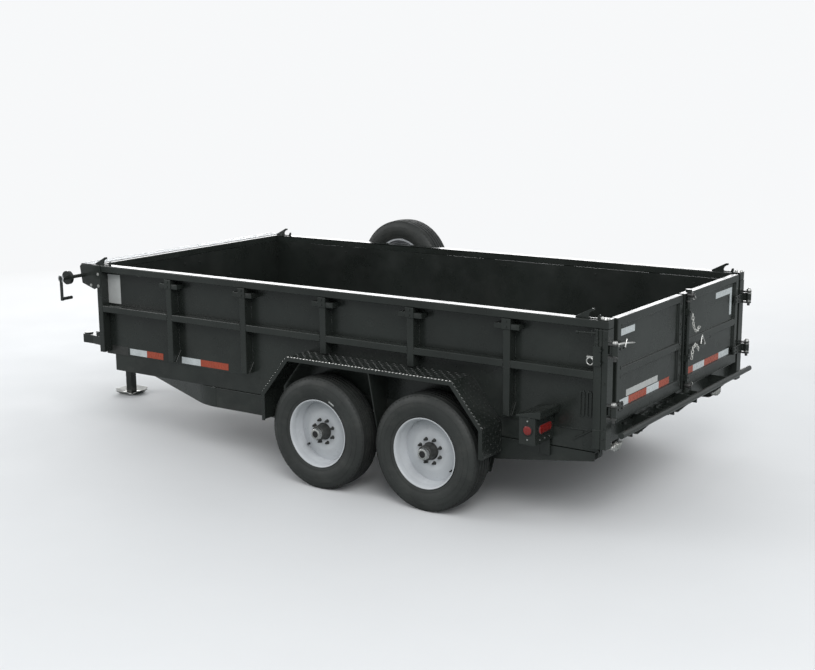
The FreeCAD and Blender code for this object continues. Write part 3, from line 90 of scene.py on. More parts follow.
class TrailerSizes(bpy.types.PropertyGroup):
    """Sizes of the drawn details"""
    tread_ribs: IntProperty(
        name="Tread Ribs", description="Ribs round each tyre's tread", default=5, min=3, max=7)
    tread_groove: FloatProperty(
        name="Tread Groove", description="Depth of the grooves between the ribs",
        default=0.007, min=0.002, max=0.012, unit="LENGTH")
    groove_width: FloatProperty(
        name="Groove Width", description="Width of the grooves between the ribs",
        default=0.009, min=0.003, max=0.015, unit="LENGTH")
    edge_round: FloatProperty(
        name="Edge Rounding", description="Rounding of the folded and tubular steel edges",
        default=0.003, min=0.0005, max=0.008, unit="LENGTH")
    tube_round: FloatProperty(
        name="Tube Rounding", description="Rounding of the rails', posts' and doors' tubes",
        default=0.0065, min=0.001, max=0.012, unit="LENGTH")
    tape_height: FloatProperty(
        name="Tape Height", description="Height of the reflective tape",
        default=0.05, min=0.03, max=0.08, unit="LENGTH")
    tape_thick: FloatProperty(
        name="Tape Thickness", description="Thickness of the reflective tape",
        default=0.0008, min=0.0003, max=0.002, unit="LENGTH")
    plate_pitch: FloatProperty(
        name="Tread Plate Pitch", description="Distance between the raised bars of the plate",
        default=0.03, min=0.015, max=0.06, unit="LENGTH")
    plate_bar: FloatProperty(
        name="Tread Plate Bar", description="Length of each raised bar on the fender plate",
        default=0.025, min=0.01, max=0.04, unit="LENGTH")
    chain_link: FloatProperty(
        name="Chain Link", description="Length of one link of the latch chains",
        default=0.026, min=0.015, max=0.04, unit="LENGTH")
    weld_bead: FloatProperty(
        name="Weld Bead", description="Width of the weld beads",
        default=0.008, min=0.003, max=0.015, unit="LENGTH")


class TrailerColours(bpy.types.PropertyGroup):
    """Colours of the finishes"""
    paint: FloatVectorProperty(
        name="Black Paint", description="Gloss paint of the steelwork", subtype="COLOR",
        size=3, min=0.0, max=1.0, default=(0.018, 0.0216, 0.0192))
    inside: FloatVectorProperty(
        name="Bed Inside", description="Paint on the inside of the bed", subtype="COLOR",
        size=3, min=0.0, max=1.0, default=(0.015, 0.018, 0.016))
    rubber: FloatVectorProperty(
        name="Tyre Rubber", description="Rubber of the tyres", subtype="COLOR",
        size=3, min=0.0, max=1.0, default=(0.028, 0.031, 0.029))
    wheel: FloatVectorProperty(
        name="Wheel Enamel", description="Enamel of the pressed wheels", subtype="COLOR",
        size=3, min=0.0, max=1.0, default=(0.56, 0.58, 0.6))
    hub: FloatVectorProperty(
        name="Hub Casting", description="Painted casting of the hubs", subtype="COLOR",
        size=3, min=0.0, max=1.0, default=(0.035, 0.036, 0.034))
    zinc: FloatVectorProperty(
        name="Zinc Plating", description="Plated pins, chains and the jack foot",
        subtype="COLOR", size=3, min=0.0, max=1.0, default=(0.62, 0.62, 0.6))
    aluminium: FloatVectorProperty(
        name="Aluminium", description="Bare aluminium of the tarp housing", subtype="COLOR",
        size=3, min=0.0, max=1.0, default=(0.76, 0.77, 0.78))
    lens: FloatVectorProperty(
        name="Red Lens", description="Lenses of the lamps", subtype="COLOR",
        size=3, min=0.0, max=1.0, default=(0.2, 0.01, 0.008))
    red_tape: FloatVectorProperty(
        name="Red Tape", description="Red lengths of the reflective tape", subtype="COLOR",
        size=3, min=0.0, max=1.0, default=(0.38, 0.066, 0.032))
    white_tape: FloatVectorProperty(
        name="White Tape", description="White lengths of the reflective tape",
        subtype="COLOR", size=3, min=0.0, max=1.0, default=(0.6, 0.64, 0.65))
    cloth: FloatVectorProperty(
        name="Tarp Cloth", description="Mesh cloth rolled at the bed's front",
        subtype="COLOR", size=3, min=0.0, max=1.0, default=(0.014, 0.014, 0.015))
    floor: FloatVectorProperty(
        name="Studio Floor", description="Floor under the trailer", subtype="COLOR",
        size=3, min=0.0, max=1.0, default=(0.8, 0.81, 0.82))


def sizes():
    """The sizes set in the sidebar."""
    return bpy.context.scene.trailer_sizes


def colours():
    """The colours set in the sidebar."""
    return bpy.context.scene.trailer_colours


# Finishes

def give(tree, socket, value):
    """Sets a socket's value, or links it where the value is another node's socket."""
    if isinstance(value, bpy.types.NodeSocket):
        tree.links.new(value, socket)
    else:
        socket.default_value = value


def new_node(tree, kind, inputs=None, **settings):
    """A shader node with its settings made and its sockets given their values."""
    made = tree.nodes.new("ShaderNode" + kind)
    for name, value in settings.items():
        setattr(made, name, value)
    for name, value in (inputs or {}).items():
        give(tree, made.inputs[name], value)
    return made


def object_place(tree, stretch=EVEN):
    """Object coordinates, stretched for one pattern."""
    place = new_node(tree, "TexCoord")
    mapping = new_node(tree, "Mapping", {"Scale": stretch, "Vector": place.outputs["Object"]})
    return mapping.outputs["Vector"]


def cloud(tree, scale, detail, rough, stretch=EVEN):
    """A soft noise over the surface."""
    noise = new_node(tree, "TexNoise", {
        "Scale": scale, "Detail": detail, "Roughness": rough,
        "Vector": object_place(tree, stretch)})
    return noise.outputs["Fac"]


def spread(tree, value, low, high, start=0.35, end=0.65):
    """Maps the middle of a noise to a range of numbers."""
    mapped = new_node(tree, "MapRange", {
        "From Min": start, "From Max": end, "To Min": low, "To Max": high, "Value": value})
    return mapped.outputs["Result"]


def between(tree, amount, first, second):
    """Mixes two colours, or a colour with a socket, by an amount."""
    mix = new_node(tree, "Mix", data_type="RGBA")
    give(tree, mix.inputs["Factor"], amount)
    for name, value in (("A", first), ("B", second)):
        socket = [s for s in mix.inputs if s.name == name and s.type == "RGBA"][0]
        link = isinstance(value, bpy.types.NodeSocket)
        give(tree, socket, value if link else (*value[:3], 1.0))
    return [s for s in mix.outputs if s.type == "RGBA"][0]


def toned(colour, amount):
    """The colour made lighter or darker."""
    return tuple(min(1.0, channel * amount) for channel in colour)


def relief(tree, shader, value, strength, distance, under=None):
    """Adds a height to the shader's surface, on top of an earlier one."""
    bump = new_node(tree, "Bump", {"Strength": strength, "Distance": distance, "Height": value})
    if under is not None:
        give(tree, bump.inputs["Normal"], under)
    give(tree, shader.inputs["Normal"], bump.outputs["Normal"])
    return bump.outputs["Normal"]


def finish(name, colour, rough, metallic=0.0, mottle=(3.0, 0.2), grain=(260.0, 0.06, 0.0004),
           wave=None, dust=None, stretch=EVEN):
    """A surface with mottled colour, uneven gloss, a fine grain, and dust where it settles.

    mottle is (scale, amount), grain and wave are (scale, strength, depth), and dust is
    (colour, amount, scale).
    """
    material = bpy.data.materials.new(name)
    material.use_nodes = True
    tree = material.node_tree
    shader = tree.nodes["Principled BSDF"]
    shader.inputs["Metallic"].default_value = metallic
    patches = cloud(tree, mottle[0], 5.0, 0.6, stretch)
    tone = between(tree, spread(tree, patches, 0.0, 1.0), toned(colour, 1.0 - mottle[1]),
                   toned(colour, 1.0 + mottle[1]))
    if dust is not None:
        dust_colour, dust_amount, dust_scale = dust
        settled = cloud(tree, dust_scale, 8.0, 0.7, (1.0, 1.0, 1.6))
        tone = between(tree, spread(tree, settled, 0.0, dust_amount, 0.5, 0.8), tone, dust_colour)
    give(tree, shader.inputs["Base Color"], tone)
    gloss = cloud(tree, mottle[0] * 2.7, 6.0, 0.6, stretch)
    give(tree, shader.inputs["Roughness"], spread(tree, gloss, *rough))
    normal = None
    if wave is not None:
        normal = relief(tree, shader, cloud(tree, wave[0], 1.0, 0.4), *wave[1:])
    relief(tree, shader, cloud(tree, grain[0], 3.0, 0.5, stretch), *grain[1:], normal)
    return material


def shader_of(material):
    """The material's node tree and its main shader."""
    return material.node_tree, material.node_tree.nodes["Principled BSDF"]


def tape_finish(name, colour):
    """Reflective tape: small cells sealed in a honeycomb of pale lines."""
    material = finish(name, colour, (0.22, 0.34), mottle=(18.0, 0.08), grain=(500.0, 0.03, 0.0002))
    tree, shader = shader_of(material)
    tone = shader.inputs["Base Color"].links[0].from_socket
    cells = new_node(tree, "TexVoronoi", feature="DISTANCE_TO_EDGE", inputs={
        "Scale": 190.0, "Randomness": 0.15, "Vector": object_place(tree)})
    seal = spread(tree, cells.outputs["Distance"], 0.55, 0.0, 0.02, 0.1)
    give(tree, shader.inputs["Base Color"], between(tree, seal, tone, toned(colour, 0.72)))
    return material


def ridges(tree, direction, scale):
    """Parallel ridges across one direction."""
    wave = new_node(tree, "TexWave", bands_direction=direction, inputs={
        "Scale": scale, "Vector": object_place(tree)})
    return wave.outputs["Fac"]


def cloth_finish(name, colour):
    """Woven mesh: crossing threads by two waves."""
    material = finish(name, colour, (0.6, 0.8), mottle=(9.0, 0.25), grain=(300.0, 0.1, 0.0004))
    tree, shader = shader_of(material)
    shader.inputs["Sheen Weight"].default_value = 0.25
    weave = new_node(tree, "Math", operation="MAXIMUM", inputs={
        0: ridges(tree, "X", 90.0), 1: ridges(tree, "Y", 90.0)})
    relief(tree, shader, weave.outputs["Value"], 0.5, 0.001)
    return material


def lens_finish(name, colour):
    """Moulded lens over a reflector, with fine optic ribs."""
    material = finish(name, colour, (0.08, 0.16), mottle=(30.0, 0.15), grain=(400.0, 0.02, 0.0002))
    tree, shader = shader_of(material)
    shader.inputs["Coat Weight"].default_value = 0.6
    shader.inputs["Coat Roughness"].default_value = 0.05
    relief(tree, shader, ridges(tree, "X", 60.0), 0.4, 0.001)
    return material


def make_finishes():
    """Every finish by its short name."""
    c = colours()
    dust = (0.16, 0.155, 0.14)
    return {
        "paint": finish("Black gloss paint", c.paint, (0.2, 0.3), mottle=(2.2, 0.22),
                        grain=(900.0, 0.03, 0.0003), wave=(5.0, 0.1, 0.004),
                        dust=(dust, 0.05, 3.0)),
        "sheet": finish("Black paint on sheet", c.paint, (0.2, 0.32), mottle=(1.6, 0.25),
                        grain=(900.0, 0.03, 0.0003), wave=(2.2, 0.3, 0.012),
                        dust=(dust, 0.06, 2.0)),
        "inside": finish("Black paint inside the bed", c.inside, (0.24, 0.4),
                         mottle=(1.4, 0.3), grain=(700.0, 0.05, 0.0004),
                         wave=(1.7, 0.55, 0.02), dust=(dust, 0.08, 1.6)),
        "chassis": finish("Black chassis paint", c.paint, (0.32, 0.48), mottle=(2.6, 0.3),
                          grain=(500.0, 0.08, 0.0005), dust=(dust, 0.14, 4.0)),
        "tread": finish("Tyre tread rubber", toned(c.rubber, 0.75), (0.62, 0.8),
                        mottle=(7.0, 0.2), grain=(350.0, 0.25, 0.0006), dust=(dust, 0.12, 9.0)),
        "rubber": finish("Tyre side rubber", c.rubber, (0.46, 0.62), mottle=(5.0, 0.14),
                         grain=(420.0, 0.12, 0.0004), dust=(dust, 0.16, 7.0)),
        "wheel": finish("White wheel enamel", c.wheel, (0.26, 0.4), mottle=(4.0, 0.05),
                        grain=(600.0, 0.04, 0.0003), dust=((0.3, 0.29, 0.27), 0.1, 12.0)),
        "hub": finish("Hub casting", c.hub, (0.42, 0.6), mottle=(14.0, 0.3),
                      grain=(220.0, 0.25, 0.0008), dust=(dust, 0.1, 20.0)),
        "steel": finish("Turned steel", c.zinc, (0.2, 0.34), metallic=1.0, mottle=(20.0, 0.08),
                        grain=(300.0, 0.05, 0.0003)),
        "zinc": finish("Zinc plate", c.zinc, (0.28, 0.46), metallic=1.0, mottle=(16.0, 0.14),
                       grain=(260.0, 0.1, 0.0005), dust=((0.34, 0.33, 0.3), 0.25, 22.0)),
        "aluminium": finish("Extruded aluminium", c.aluminium, (0.22, 0.38), metallic=1.0,
                            mottle=(8.0, 0.05), grain=(220.0, 0.12, 0.0003),
                            stretch=(1.0, 0.03, 1.0)),
        "chrome": finish("Chromed rod", (0.72, 0.73, 0.74), (0.05, 0.12), metallic=1.0,
                         mottle=(12.0, 0.04), grain=(300.0, 0.02, 0.0002)),
        "rope": finish("Pale plated link", (0.66, 0.66, 0.63), (0.34, 0.5), metallic=0.4,
                       mottle=(40.0, 0.12), grain=(400.0, 0.1, 0.0003)),
        "bolt": finish("Dark bolt", (0.1, 0.1, 0.098), (0.28, 0.44), metallic=0.7,
                       mottle=(40.0, 0.2), grain=(400.0, 0.1, 0.0003)),
        "gasket": finish("Black rubber grommet", (0.012, 0.012, 0.012), (0.5, 0.7),
                         mottle=(12.0, 0.2), grain=(300.0, 0.1, 0.0004)),
        "label": finish("Blank label vinyl", (0.5, 0.51, 0.5), (0.32, 0.45),
                        mottle=(14.0, 0.06), grain=(500.0, 0.04, 0.0002)),
        "dull_label": finish("Dark reflector vinyl", (0.035, 0.036, 0.034), (0.3, 0.42),
                             mottle=(60.0, 0.3), grain=(600.0, 0.1, 0.0003)),
        "cloth": cloth_finish("Tarp mesh cloth", c.cloth),
        "lens": lens_finish("Red lamp lens", c.lens),
        "red_tape": tape_finish("Red reflective tape", c.red_tape),
        "white_tape": tape_finish("White reflective tape", c.white_tape),
    }


FINISHES = {}


def surface(name):
    """The named finish; all of them are made the first time that one is asked for."""
    if not FINISHES:
        FINISHES.update(make_finishes())
    return FINISHES[name]


# Shapes

def shapes(count):
    """As many empty shapes."""
    return [bmesh.new() for _ in range(count)]


def block(bm, low, high, soft=0.0, steps=2):
    """A box between two corners, its edges rounded where a width is given."""
    low, high = Vector(low), Vector(high)
    place = Matrix.Translation((low + high) / 2) @ Matrix.Diagonal((*(high - low), 1.0))
    made = bmesh.ops.create_cube(bm, size=1.0, matrix=place)["verts"]
    if soft:
        edges = list({edge for vert in made for edge in vert.link_edges})
        soften(bm, edges, soft, steps)
    return made


def soften(bm, edges, width, steps=2):
    """Rounds the given edges."""
    bmesh.ops.bevel(bm, geom=edges, offset=width, offset_type="OFFSET", affect="EDGES",
                    segments=steps, profile=0.5, material=-1, clamp_overlap=True)


def run_matrix(start, end):
    """The place that takes an upright shape to the middle of a run between two points."""
    run = Vector(end) - Vector(start)
    turn = run.to_track_quat("Z", "Y").to_matrix().to_4x4()
    return Matrix.Translation((Vector(start) + Vector(end)) / 2) @ turn


def rod(bm, start, end, radius, end_radius=None, sides=24, soft=0.0):
    """A round bar between two points, its end rims rounded where a width is given."""
    start, end = Vector(start), Vector(end)
    made = bmesh.ops.create_cone(
        bm, cap_ends=True, cap_tris=False, segments=sides, radius1=radius,
        radius2=radius if end_radius is None else end_radius, depth=(end - start).length,
        matrix=run_matrix(start, end))["verts"]
    if soft:
        rims = {edge for vert in made for edge in vert.link_edges
                if any(len(face.verts) > 4 for face in edge.link_faces)}
        soften(bm, list(rims), soft)
    return made


def lathe(bm, centre, axis, profile, steps=64):
    """Spins a profile of (radius, distance along the axis) points once round."""
    axis = Vector(axis).normalized()
    out = axis.orthogonal().normalized()
    centre = Vector(centre)
    verts = [bm.verts.new(centre + out * radius + axis * along) for radius, along in profile]
    edges = [bm.edges.new(pair) for pair in zip(verts, verts[1:])]
    before = set(bm.verts) - set(verts)
    bmesh.ops.spin(bm, geom=verts + edges, cent=centre, axis=axis, dvec=(0.0, 0.0, 0.0),
                   angle=math.tau, steps=steps, use_merge=True, use_duplicate=False)
    made = [vert for vert in bm.verts if vert not in before]
    bmesh.ops.remove_doubles(bm, verts=made, dist=1e-5)
    made = [vert for vert in bm.verts if vert not in before]
    faces = list({face for vert in made for face in vert.link_faces})
    bmesh.ops.recalc_face_normals(bm, faces=faces)
    return made


def hoop(bm, centre, axis, radius, thick, steps=28, sides=10):
    """A ring of round wire."""
    profile = [(radius + thick * math.cos(math.tau * i / sides),
                thick * math.sin(math.tau * i / sides)) for i in range(sides)]
    return lathe(bm, centre, axis, profile + profile[:1], steps)


def hexagon(bm, start, end, radius, washer=0.0):
    """A bolt head or nut between two points, over a washer where one is given."""
    start, end = Vector(start), Vector(end)
    rod(bm, start, end, radius, sides=6, soft=radius * 0.08)
    if washer:
        edge = start + (end - start).normalized() * 0.0025
        rod(bm, start, edge, washer, sides=20)


def bent_rod(bm, points, radius, sides=10, closed=False):
    """A round wire that follows points, with a ball at each bend."""
    points = [Vector(p) for p in points]
    pairs = list(zip(points, points[1:] + (points[:1] if closed else [])))
    for start, end in pairs:
        rod(bm, start, end, radius, sides=sides)
    for point in points:
        bmesh.ops.create_icosphere(bm, subdivisions=2, radius=radius,
                                   matrix=Matrix.Translation(point))


def plate(bm, outline, direction, thick, soft=0.0):
    """A flat plate of a given outline, extruded along a direction."""
    verts = [bm.verts.new(Vector(p)) for p in outline]
    face = bm.faces.new(verts)
    grown = bmesh.ops.extrude_face_region(bm, geom=[face])["geom"]
    moved = [item for item in grown if isinstance(item, bmesh.types.BMVert)]
    bmesh.ops.translate(bm, verts=moved, vec=Vector(direction).normalized() * thick)
    both = verts + moved
    faces = list({f for vert in both for f in vert.link_faces})
    bmesh.ops.recalc_face_normals(bm, faces=faces)
    if soft:
        soften(bm, list({e for vert in both for e in vert.link_edges}), soft, 1)
    return both


def weld(bm, start, end, width=None):
    """A weld bead of overlapping ripples between points measured from the bed's rear edge."""
    start, end = at(*start), at(*end)
    width = width or sizes().weld_bead
    count = max(2, int((end - start).length / (width * 0.9)))
    turn = (end - start).to_track_quat("X", "Z").to_matrix().to_4x4()
    for i in range(count):
        point = start.lerp(end, (i + 0.5) / count)
        squash = Matrix.Diagonal((0.75, 0.5, 0.5, 1.0))
        bmesh.ops.create_icosphere(bm, subdivisions=1, radius=width,
                                   matrix=Matrix.Translation(point) @ turn @ squash)


def stitch(bm, middle, axis, half, width):
    """A weld bead that runs equally far both ways from its middle."""
    middle, reach = Vector(middle), Vector(axis) * half
    weld(bm, middle - reach, middle + reach, width)


def heads(bm, spots, aim, radius=0.008, tall=0.005, washer=0.0):
    """Bolt heads at points measured from the bed's rear edge, all facing one way."""
    for spot in spots:
        start = at(*spot)
        hexagon(bm, start, start + Vector(aim).normalized() * tall, radius, washer)


def bar(bm, start, end, radius, sides=20, soft=0.001):
    """A round bar between two points measured from the bed's rear edge."""
    rod(bm, at(*start), at(*end), radius, sides=sides, soft=soft)


def slab(bm, low, high, soft=0.0015):
    """A plate or block between two corners measured from the bed's rear edge."""
    low, high = at(*low), at(*high)
    corners = [(min(pair), max(pair)) for pair in zip(low, high)]
    block(bm, [c[0] for c in corners], [c[1] for c in corners], soft)


def piece(name, bm, body, surfaces, crisp=32.0, stands_for=()):
    """Makes the piece from its shape, gives it its finishes and joins it to its body."""
    mesh = bpy.data.meshes.new(name)
    bm.to_mesh(mesh)
    bm.free()
    if not len(mesh.polygons):
        raise RuntimeError("the piece %s came out empty" % name)
    mesh.polygons.foreach_set("use_smooth", [True] * len(mesh.polygons))
    mesh.set_sharp_from_angle(angle=math.radians(crisp))
    names = (surfaces,) if isinstance(surfaces, str) else surfaces
    for finish_name in names:
        mesh.materials.append(surface(finish_name))
    made = bpy.data.objects.new(name, mesh)
    bpy.context.collection.objects.link(made)
    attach(made, body)
    if stands_for:
        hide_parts(*stands_for)
    return made


# Painted steelwork

# The finish of each solid part; the rest are in the gloss paint.
CAD_SURFACES = {node: name for name, nodes in {
    "chassis": "frame_rails chassis_crossmembers hinge_mounts hoist_base axles leaf_springs "
               "spring_hangers bed_sills bed_crossmembers bed_ears fender_stays",
    "sheet": "bed_wall_left door_left door_right",
    "inside": "bed_floor bed_wall_right bed_front_wall",
    "chrome": "cylinder_rods", "zinc": "jack_foot", "aluminium": "tarp_housing",
    "cloth": "tarp_roll", "bolt": "door_hinge_pins", "lens": "lamps",
}.items() for node in nodes.split()}

# The parts whose edges are rounded, and the square tubes among them, which are rounder.
SOFTENED = (
    "top_rails", "mid_rails", "bed_posts", "rear_posts", "bed_rear_frame", "rear_bar",
    "post_brackets", "frame_rails", "tongue_rails", "bed_sills", "bed_crossmembers",
    "chassis_crossmembers", "fender_left", "fender_right", "lamp_boxes", "tongue_box",
    "tongue_box_lid", "door_left", "door_right", "tarp_housing", "tarp_brackets", "tarp_crank",
    "coupler", "jack", "jack_foot", "spare_bracket", "door_straps_left", "door_straps_right",
)
TUBES = ("top_rails", "mid_rails", "bed_posts", "door_left", "door_right", "rear_bar")
# Edges that fold by more than this many degrees are rounded.
FOLD = 28.0


def body_of(node):
    """The body that carries a node."""
    for body, nodes in frame["record"]["behaviour"]["bodies"].items():
        if node in nodes:
            return body
    raise RuntimeError("no body carries the node %s" % node)


def softened(node):
    """A merged copy of a CAD node, whose sharp edges are rounded by a modifier."""
    bm = bmesh.new()
    bm.from_mesh(frame["nodes"][node].data)
    bmesh.ops.remove_doubles(bm, verts=bm.verts, dist=2e-5)
    bmesh.ops.dissolve_limit(bm, angle_limit=math.radians(0.5), verts=bm.verts,
                             edges=bm.edges, delimit={"NORMAL"})
    made = piece(node + "_rounded", bm, body_of(node), CAD_SURFACES.get(node, "paint"),
                 FOLD, (node,))
    rounding = made.modifiers.new("Rounded edges", "BEVEL")
    rounding.width = sizes().tube_round if node in TUBES else sizes().edge_round
    rounding.segments = 3 if node in TUBES else 2
    rounding.limit_method = "ANGLE"
    rounding.angle_limit = math.radians(FOLD)
    rounding.use_clamp_overlap = True
    rounding.harden_normals = True
    return made


class TRAILER_OT_steelwork(bpy.types.Operator):
    """Paints the steelwork and rounds the edges of its tubes, folds and plates"""
    bl_idname = "trailer.steelwork"
    bl_label = "Steelwork"

    def execute(self, context):
        for node, shown in frame["nodes"].items():
            material = surface(CAD_SURFACES.get(node, "paint"))
            shown.data.materials.clear()
            shown.data.materials.append(material)
        for node in SOFTENED:
            softened(node)
        return {"FINISHED"}


# Wheels

def tyre_profile(half, tread_radius):
    """Half of a radial tyre's section from bead to crown, then its mirror image."""
    s = sizes()
    side = [(BEAD_RADIUS + out, y) for out, y in (
        (0.001, BEAD_HALF), (0.006, 0.0885), (0.013, 0.091), (0.02, 0.0925), (0.0205, 0.094),
        (0.024, 0.0945), (0.0245, 0.0965))]
    side += [(radius, half - inset) for radius, inset in (
        (0.276, 0.0055), (0.29, 0.0025), (0.3035, 0.0012), (0.304, 0.0002), (0.309, 0.0002),
        (0.3095, 0.0012), (0.322, 0.0008), (0.336, 0.003), (0.3365, 0.002), (0.3415, 0.003),
        (0.342, 0.0048), (0.353, 0.0082), (0.364, 0.0135), (0.373, 0.0195), (0.3785, 0.024),
        (0.3835, 0.0275))]
    crown = []
    tread_half, dome = half - 0.0305, 0.0045
    ribs = s.tread_ribs
    rib = (2 * tread_half - (ribs - 1) * s.groove_width) / ribs
    position = tread_half

    def crown_radius(y):
        """The slightly domed crown's radius beside the tyre's middle."""
        return tread_radius - dome * (y / tread_half) ** 2
    for i in range(ribs):
        inner = position - rib
        crown += [(crown_radius(position), position), (crown_radius(inner), inner)]
        if i < ribs - 1:
            low = tread_radius - dome - s.tread_groove
            crown += [(low, inner - 0.0015), (low, inner - s.groove_width + 0.0015)]
        position = inner - s.groove_width
    return side + crown + [(radius, -along) for radius, along in reversed(side)]


def middle_of(node):
    """The middle of a node's box, and half of its size."""
    low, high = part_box(node)
    return (low + high) / 2, (high - low) / 2


def outward_of(wheel):
    """The side to which a wheel faces: 1 is left, -1 is right."""
    return 1.0 if wheel.endswith("left") else -1.0


def add_tyre(name, body, node):
    """A ribbed tyre with rubber sides and a duller tread."""
    middle, (_, half, outer) = middle_of(node)
    bm = bmesh.new()
    profile = tyre_profile(half, outer)
    bead = profile[0][0]
    inner = [(bead, BEAD_HALF * (2 * i / 3 - 1)) for i in (1, 2)]
    lathe(bm, middle, LEFT, profile + inner + profile[:1], 96)
    for face in bm.faces:
        centre = face.calc_center_median()
        radius = math.hypot(centre.x - middle.x, centre.z - middle.z)
        face.material_index = 1 if radius > outer - 0.017 else 0
    cross_grooves(bm, middle, half, outer)
    return piece(name, bm, body, ("rubber", "tread"), 26.0, (node,))


def cross_grooves(bm, middle, half, outer):
    """Fine radial ribs on the tyre's shoulders."""
    count = 72
    for i in range(count):
        turn = Matrix.Rotation(math.tau * i / count, 4, "Y")
        for side in (-1, 1):
            place = (Matrix.Translation(middle) @ turn
                     @ Matrix.Translation((0.0, side * (half - 0.0245), outer - 0.0165))
                     @ Matrix.Rotation(side * 0.62, 4, "X")
                     @ Matrix.Diagonal((0.008, 0.011, 0.0035, 1.0)))
            made = bmesh.ops.create_cube(bm, size=1.0, matrix=place)["verts"]
            for face in {f for vert in made for f in vert.link_faces}:
                face.material_index = 1


class TRAILER_OT_tyres(bpy.types.Operator):
    """Builds the ribbed tyres of the four wheels and the spare"""
    bl_idname = "trailer.tyres"
    bl_label = "Tyres"

    def execute(self, context):
        for wheel in WHEELS:
            add_tyre("tyre_%s_ribbed" % wheel, "wheel_" + wheel, "tyre_" + wheel)
        add_tyre("tyre_spare_ribbed", "bed", "spare_tyre")
        self.sticker()
        return {"FINISHED"}

    def sticker(self):
        """A small blank sticker beside the front tyre's bead."""
        middle, _ = middle_of("tyre_front_left")
        round_wheel = Matrix.Rotation(math.radians(-120.0), 4, "Y")
        lean = Matrix.Rotation(math.radians(19.6), 4, "Z")
        place = (Matrix.Translation(middle) @ round_wheel
                 @ Matrix.Translation((0.264, 0.0978, 0.0)) @ lean
                 @ Matrix.Diagonal((0.013, 0.001, 0.048, 1.0)))
        bm = bmesh.new()
        bmesh.ops.create_cube(bm, size=1.0, matrix=place)
        piece("tyre_sticker", bm, "wheel_front_left", "label")


def add_rim(name, body, node, outward):
    """A closed white wheel disc with a rolled flange and an air valve."""
    middle, (outer, half, _) = middle_of(node)
    face = DISC_FACE
    rear = [(outer - inset, y - half) for inset, y in (
        (0.0, 0.0), (0.0, 0.006), (0.009, 0.01), (0.012, 0.03), (0.026, 0.04))]
    front = [(outer - inset, half - y) for inset, y in (
        (0.026, 0.06), (0.012, 0.036), (0.01, 0.012), (0.002, 0.006), (0.0, 0.004), (0.0, 0.001),
        (0.002, 0.0), (0.005, 0.0005), (0.01, 0.006), (0.0145, 0.017), (0.017, 0.034),
        (0.0185, 0.06))]
    disc = [(radius, face - y) for radius, y in (
        (outer - 0.023, 0.036), (outer - 0.032, 0.032), (0.175, 0.021), (0.15, 0.01),
        (0.136, 0.003), (0.122, 0.0), (0.062, 0.0), (0.0585, 0.002), (0.0565, 0.008),
        (0.0565, 0.012), (0.122, 0.012), (0.15, 0.02), (0.175, 0.03), (outer - 0.034, 0.046))]
    inside = [(outer - inset, y - half) for inset, y in (
        (0.034, 0.046), (0.018, 0.034), (0.014, 0.004), (0.0, 0.0))]
    profile = rear + front + disc + inside
    bm = bmesh.new()
    lathe(bm, middle, (0.0, outward, 0.0), profile, 96)
    piece(name, bm, body, "wheel", 40.0, (node,))
    bm = bmesh.new()
    angle = math.radians(322.0 if "front" in name else 218.0)
    root = middle + Vector((math.cos(angle) * 0.188, outward * (face - 0.027),
                            math.sin(angle) * 0.188))
    tip = root + Vector((0.0, outward * 0.03, 0.0))
    rod(bm, root, root.lerp(tip, 0.5), 0.0085, 0.006, 16)
    rod(bm, root.lerp(tip, 0.45), tip, 0.0048, 0.0042, 16, 0.001)
    piece(name + "_valve", bm, body, "gasket")


class TRAILER_OT_rims(bpy.types.Operator):
    """Builds the closed white discs of the wheels and the spare"""
    bl_idname = "trailer.rims"
    bl_label = "Wheel Discs"

    def execute(self, context):
        for wheel in WHEELS:
            add_rim("rim_%s_disc" % wheel, "wheel_" + wheel, "rim_" + wheel, outward_of(wheel))
        add_rim("rim_spare_disc", "bed", "spare_rim", -1.0)
        return {"FINISHED"}


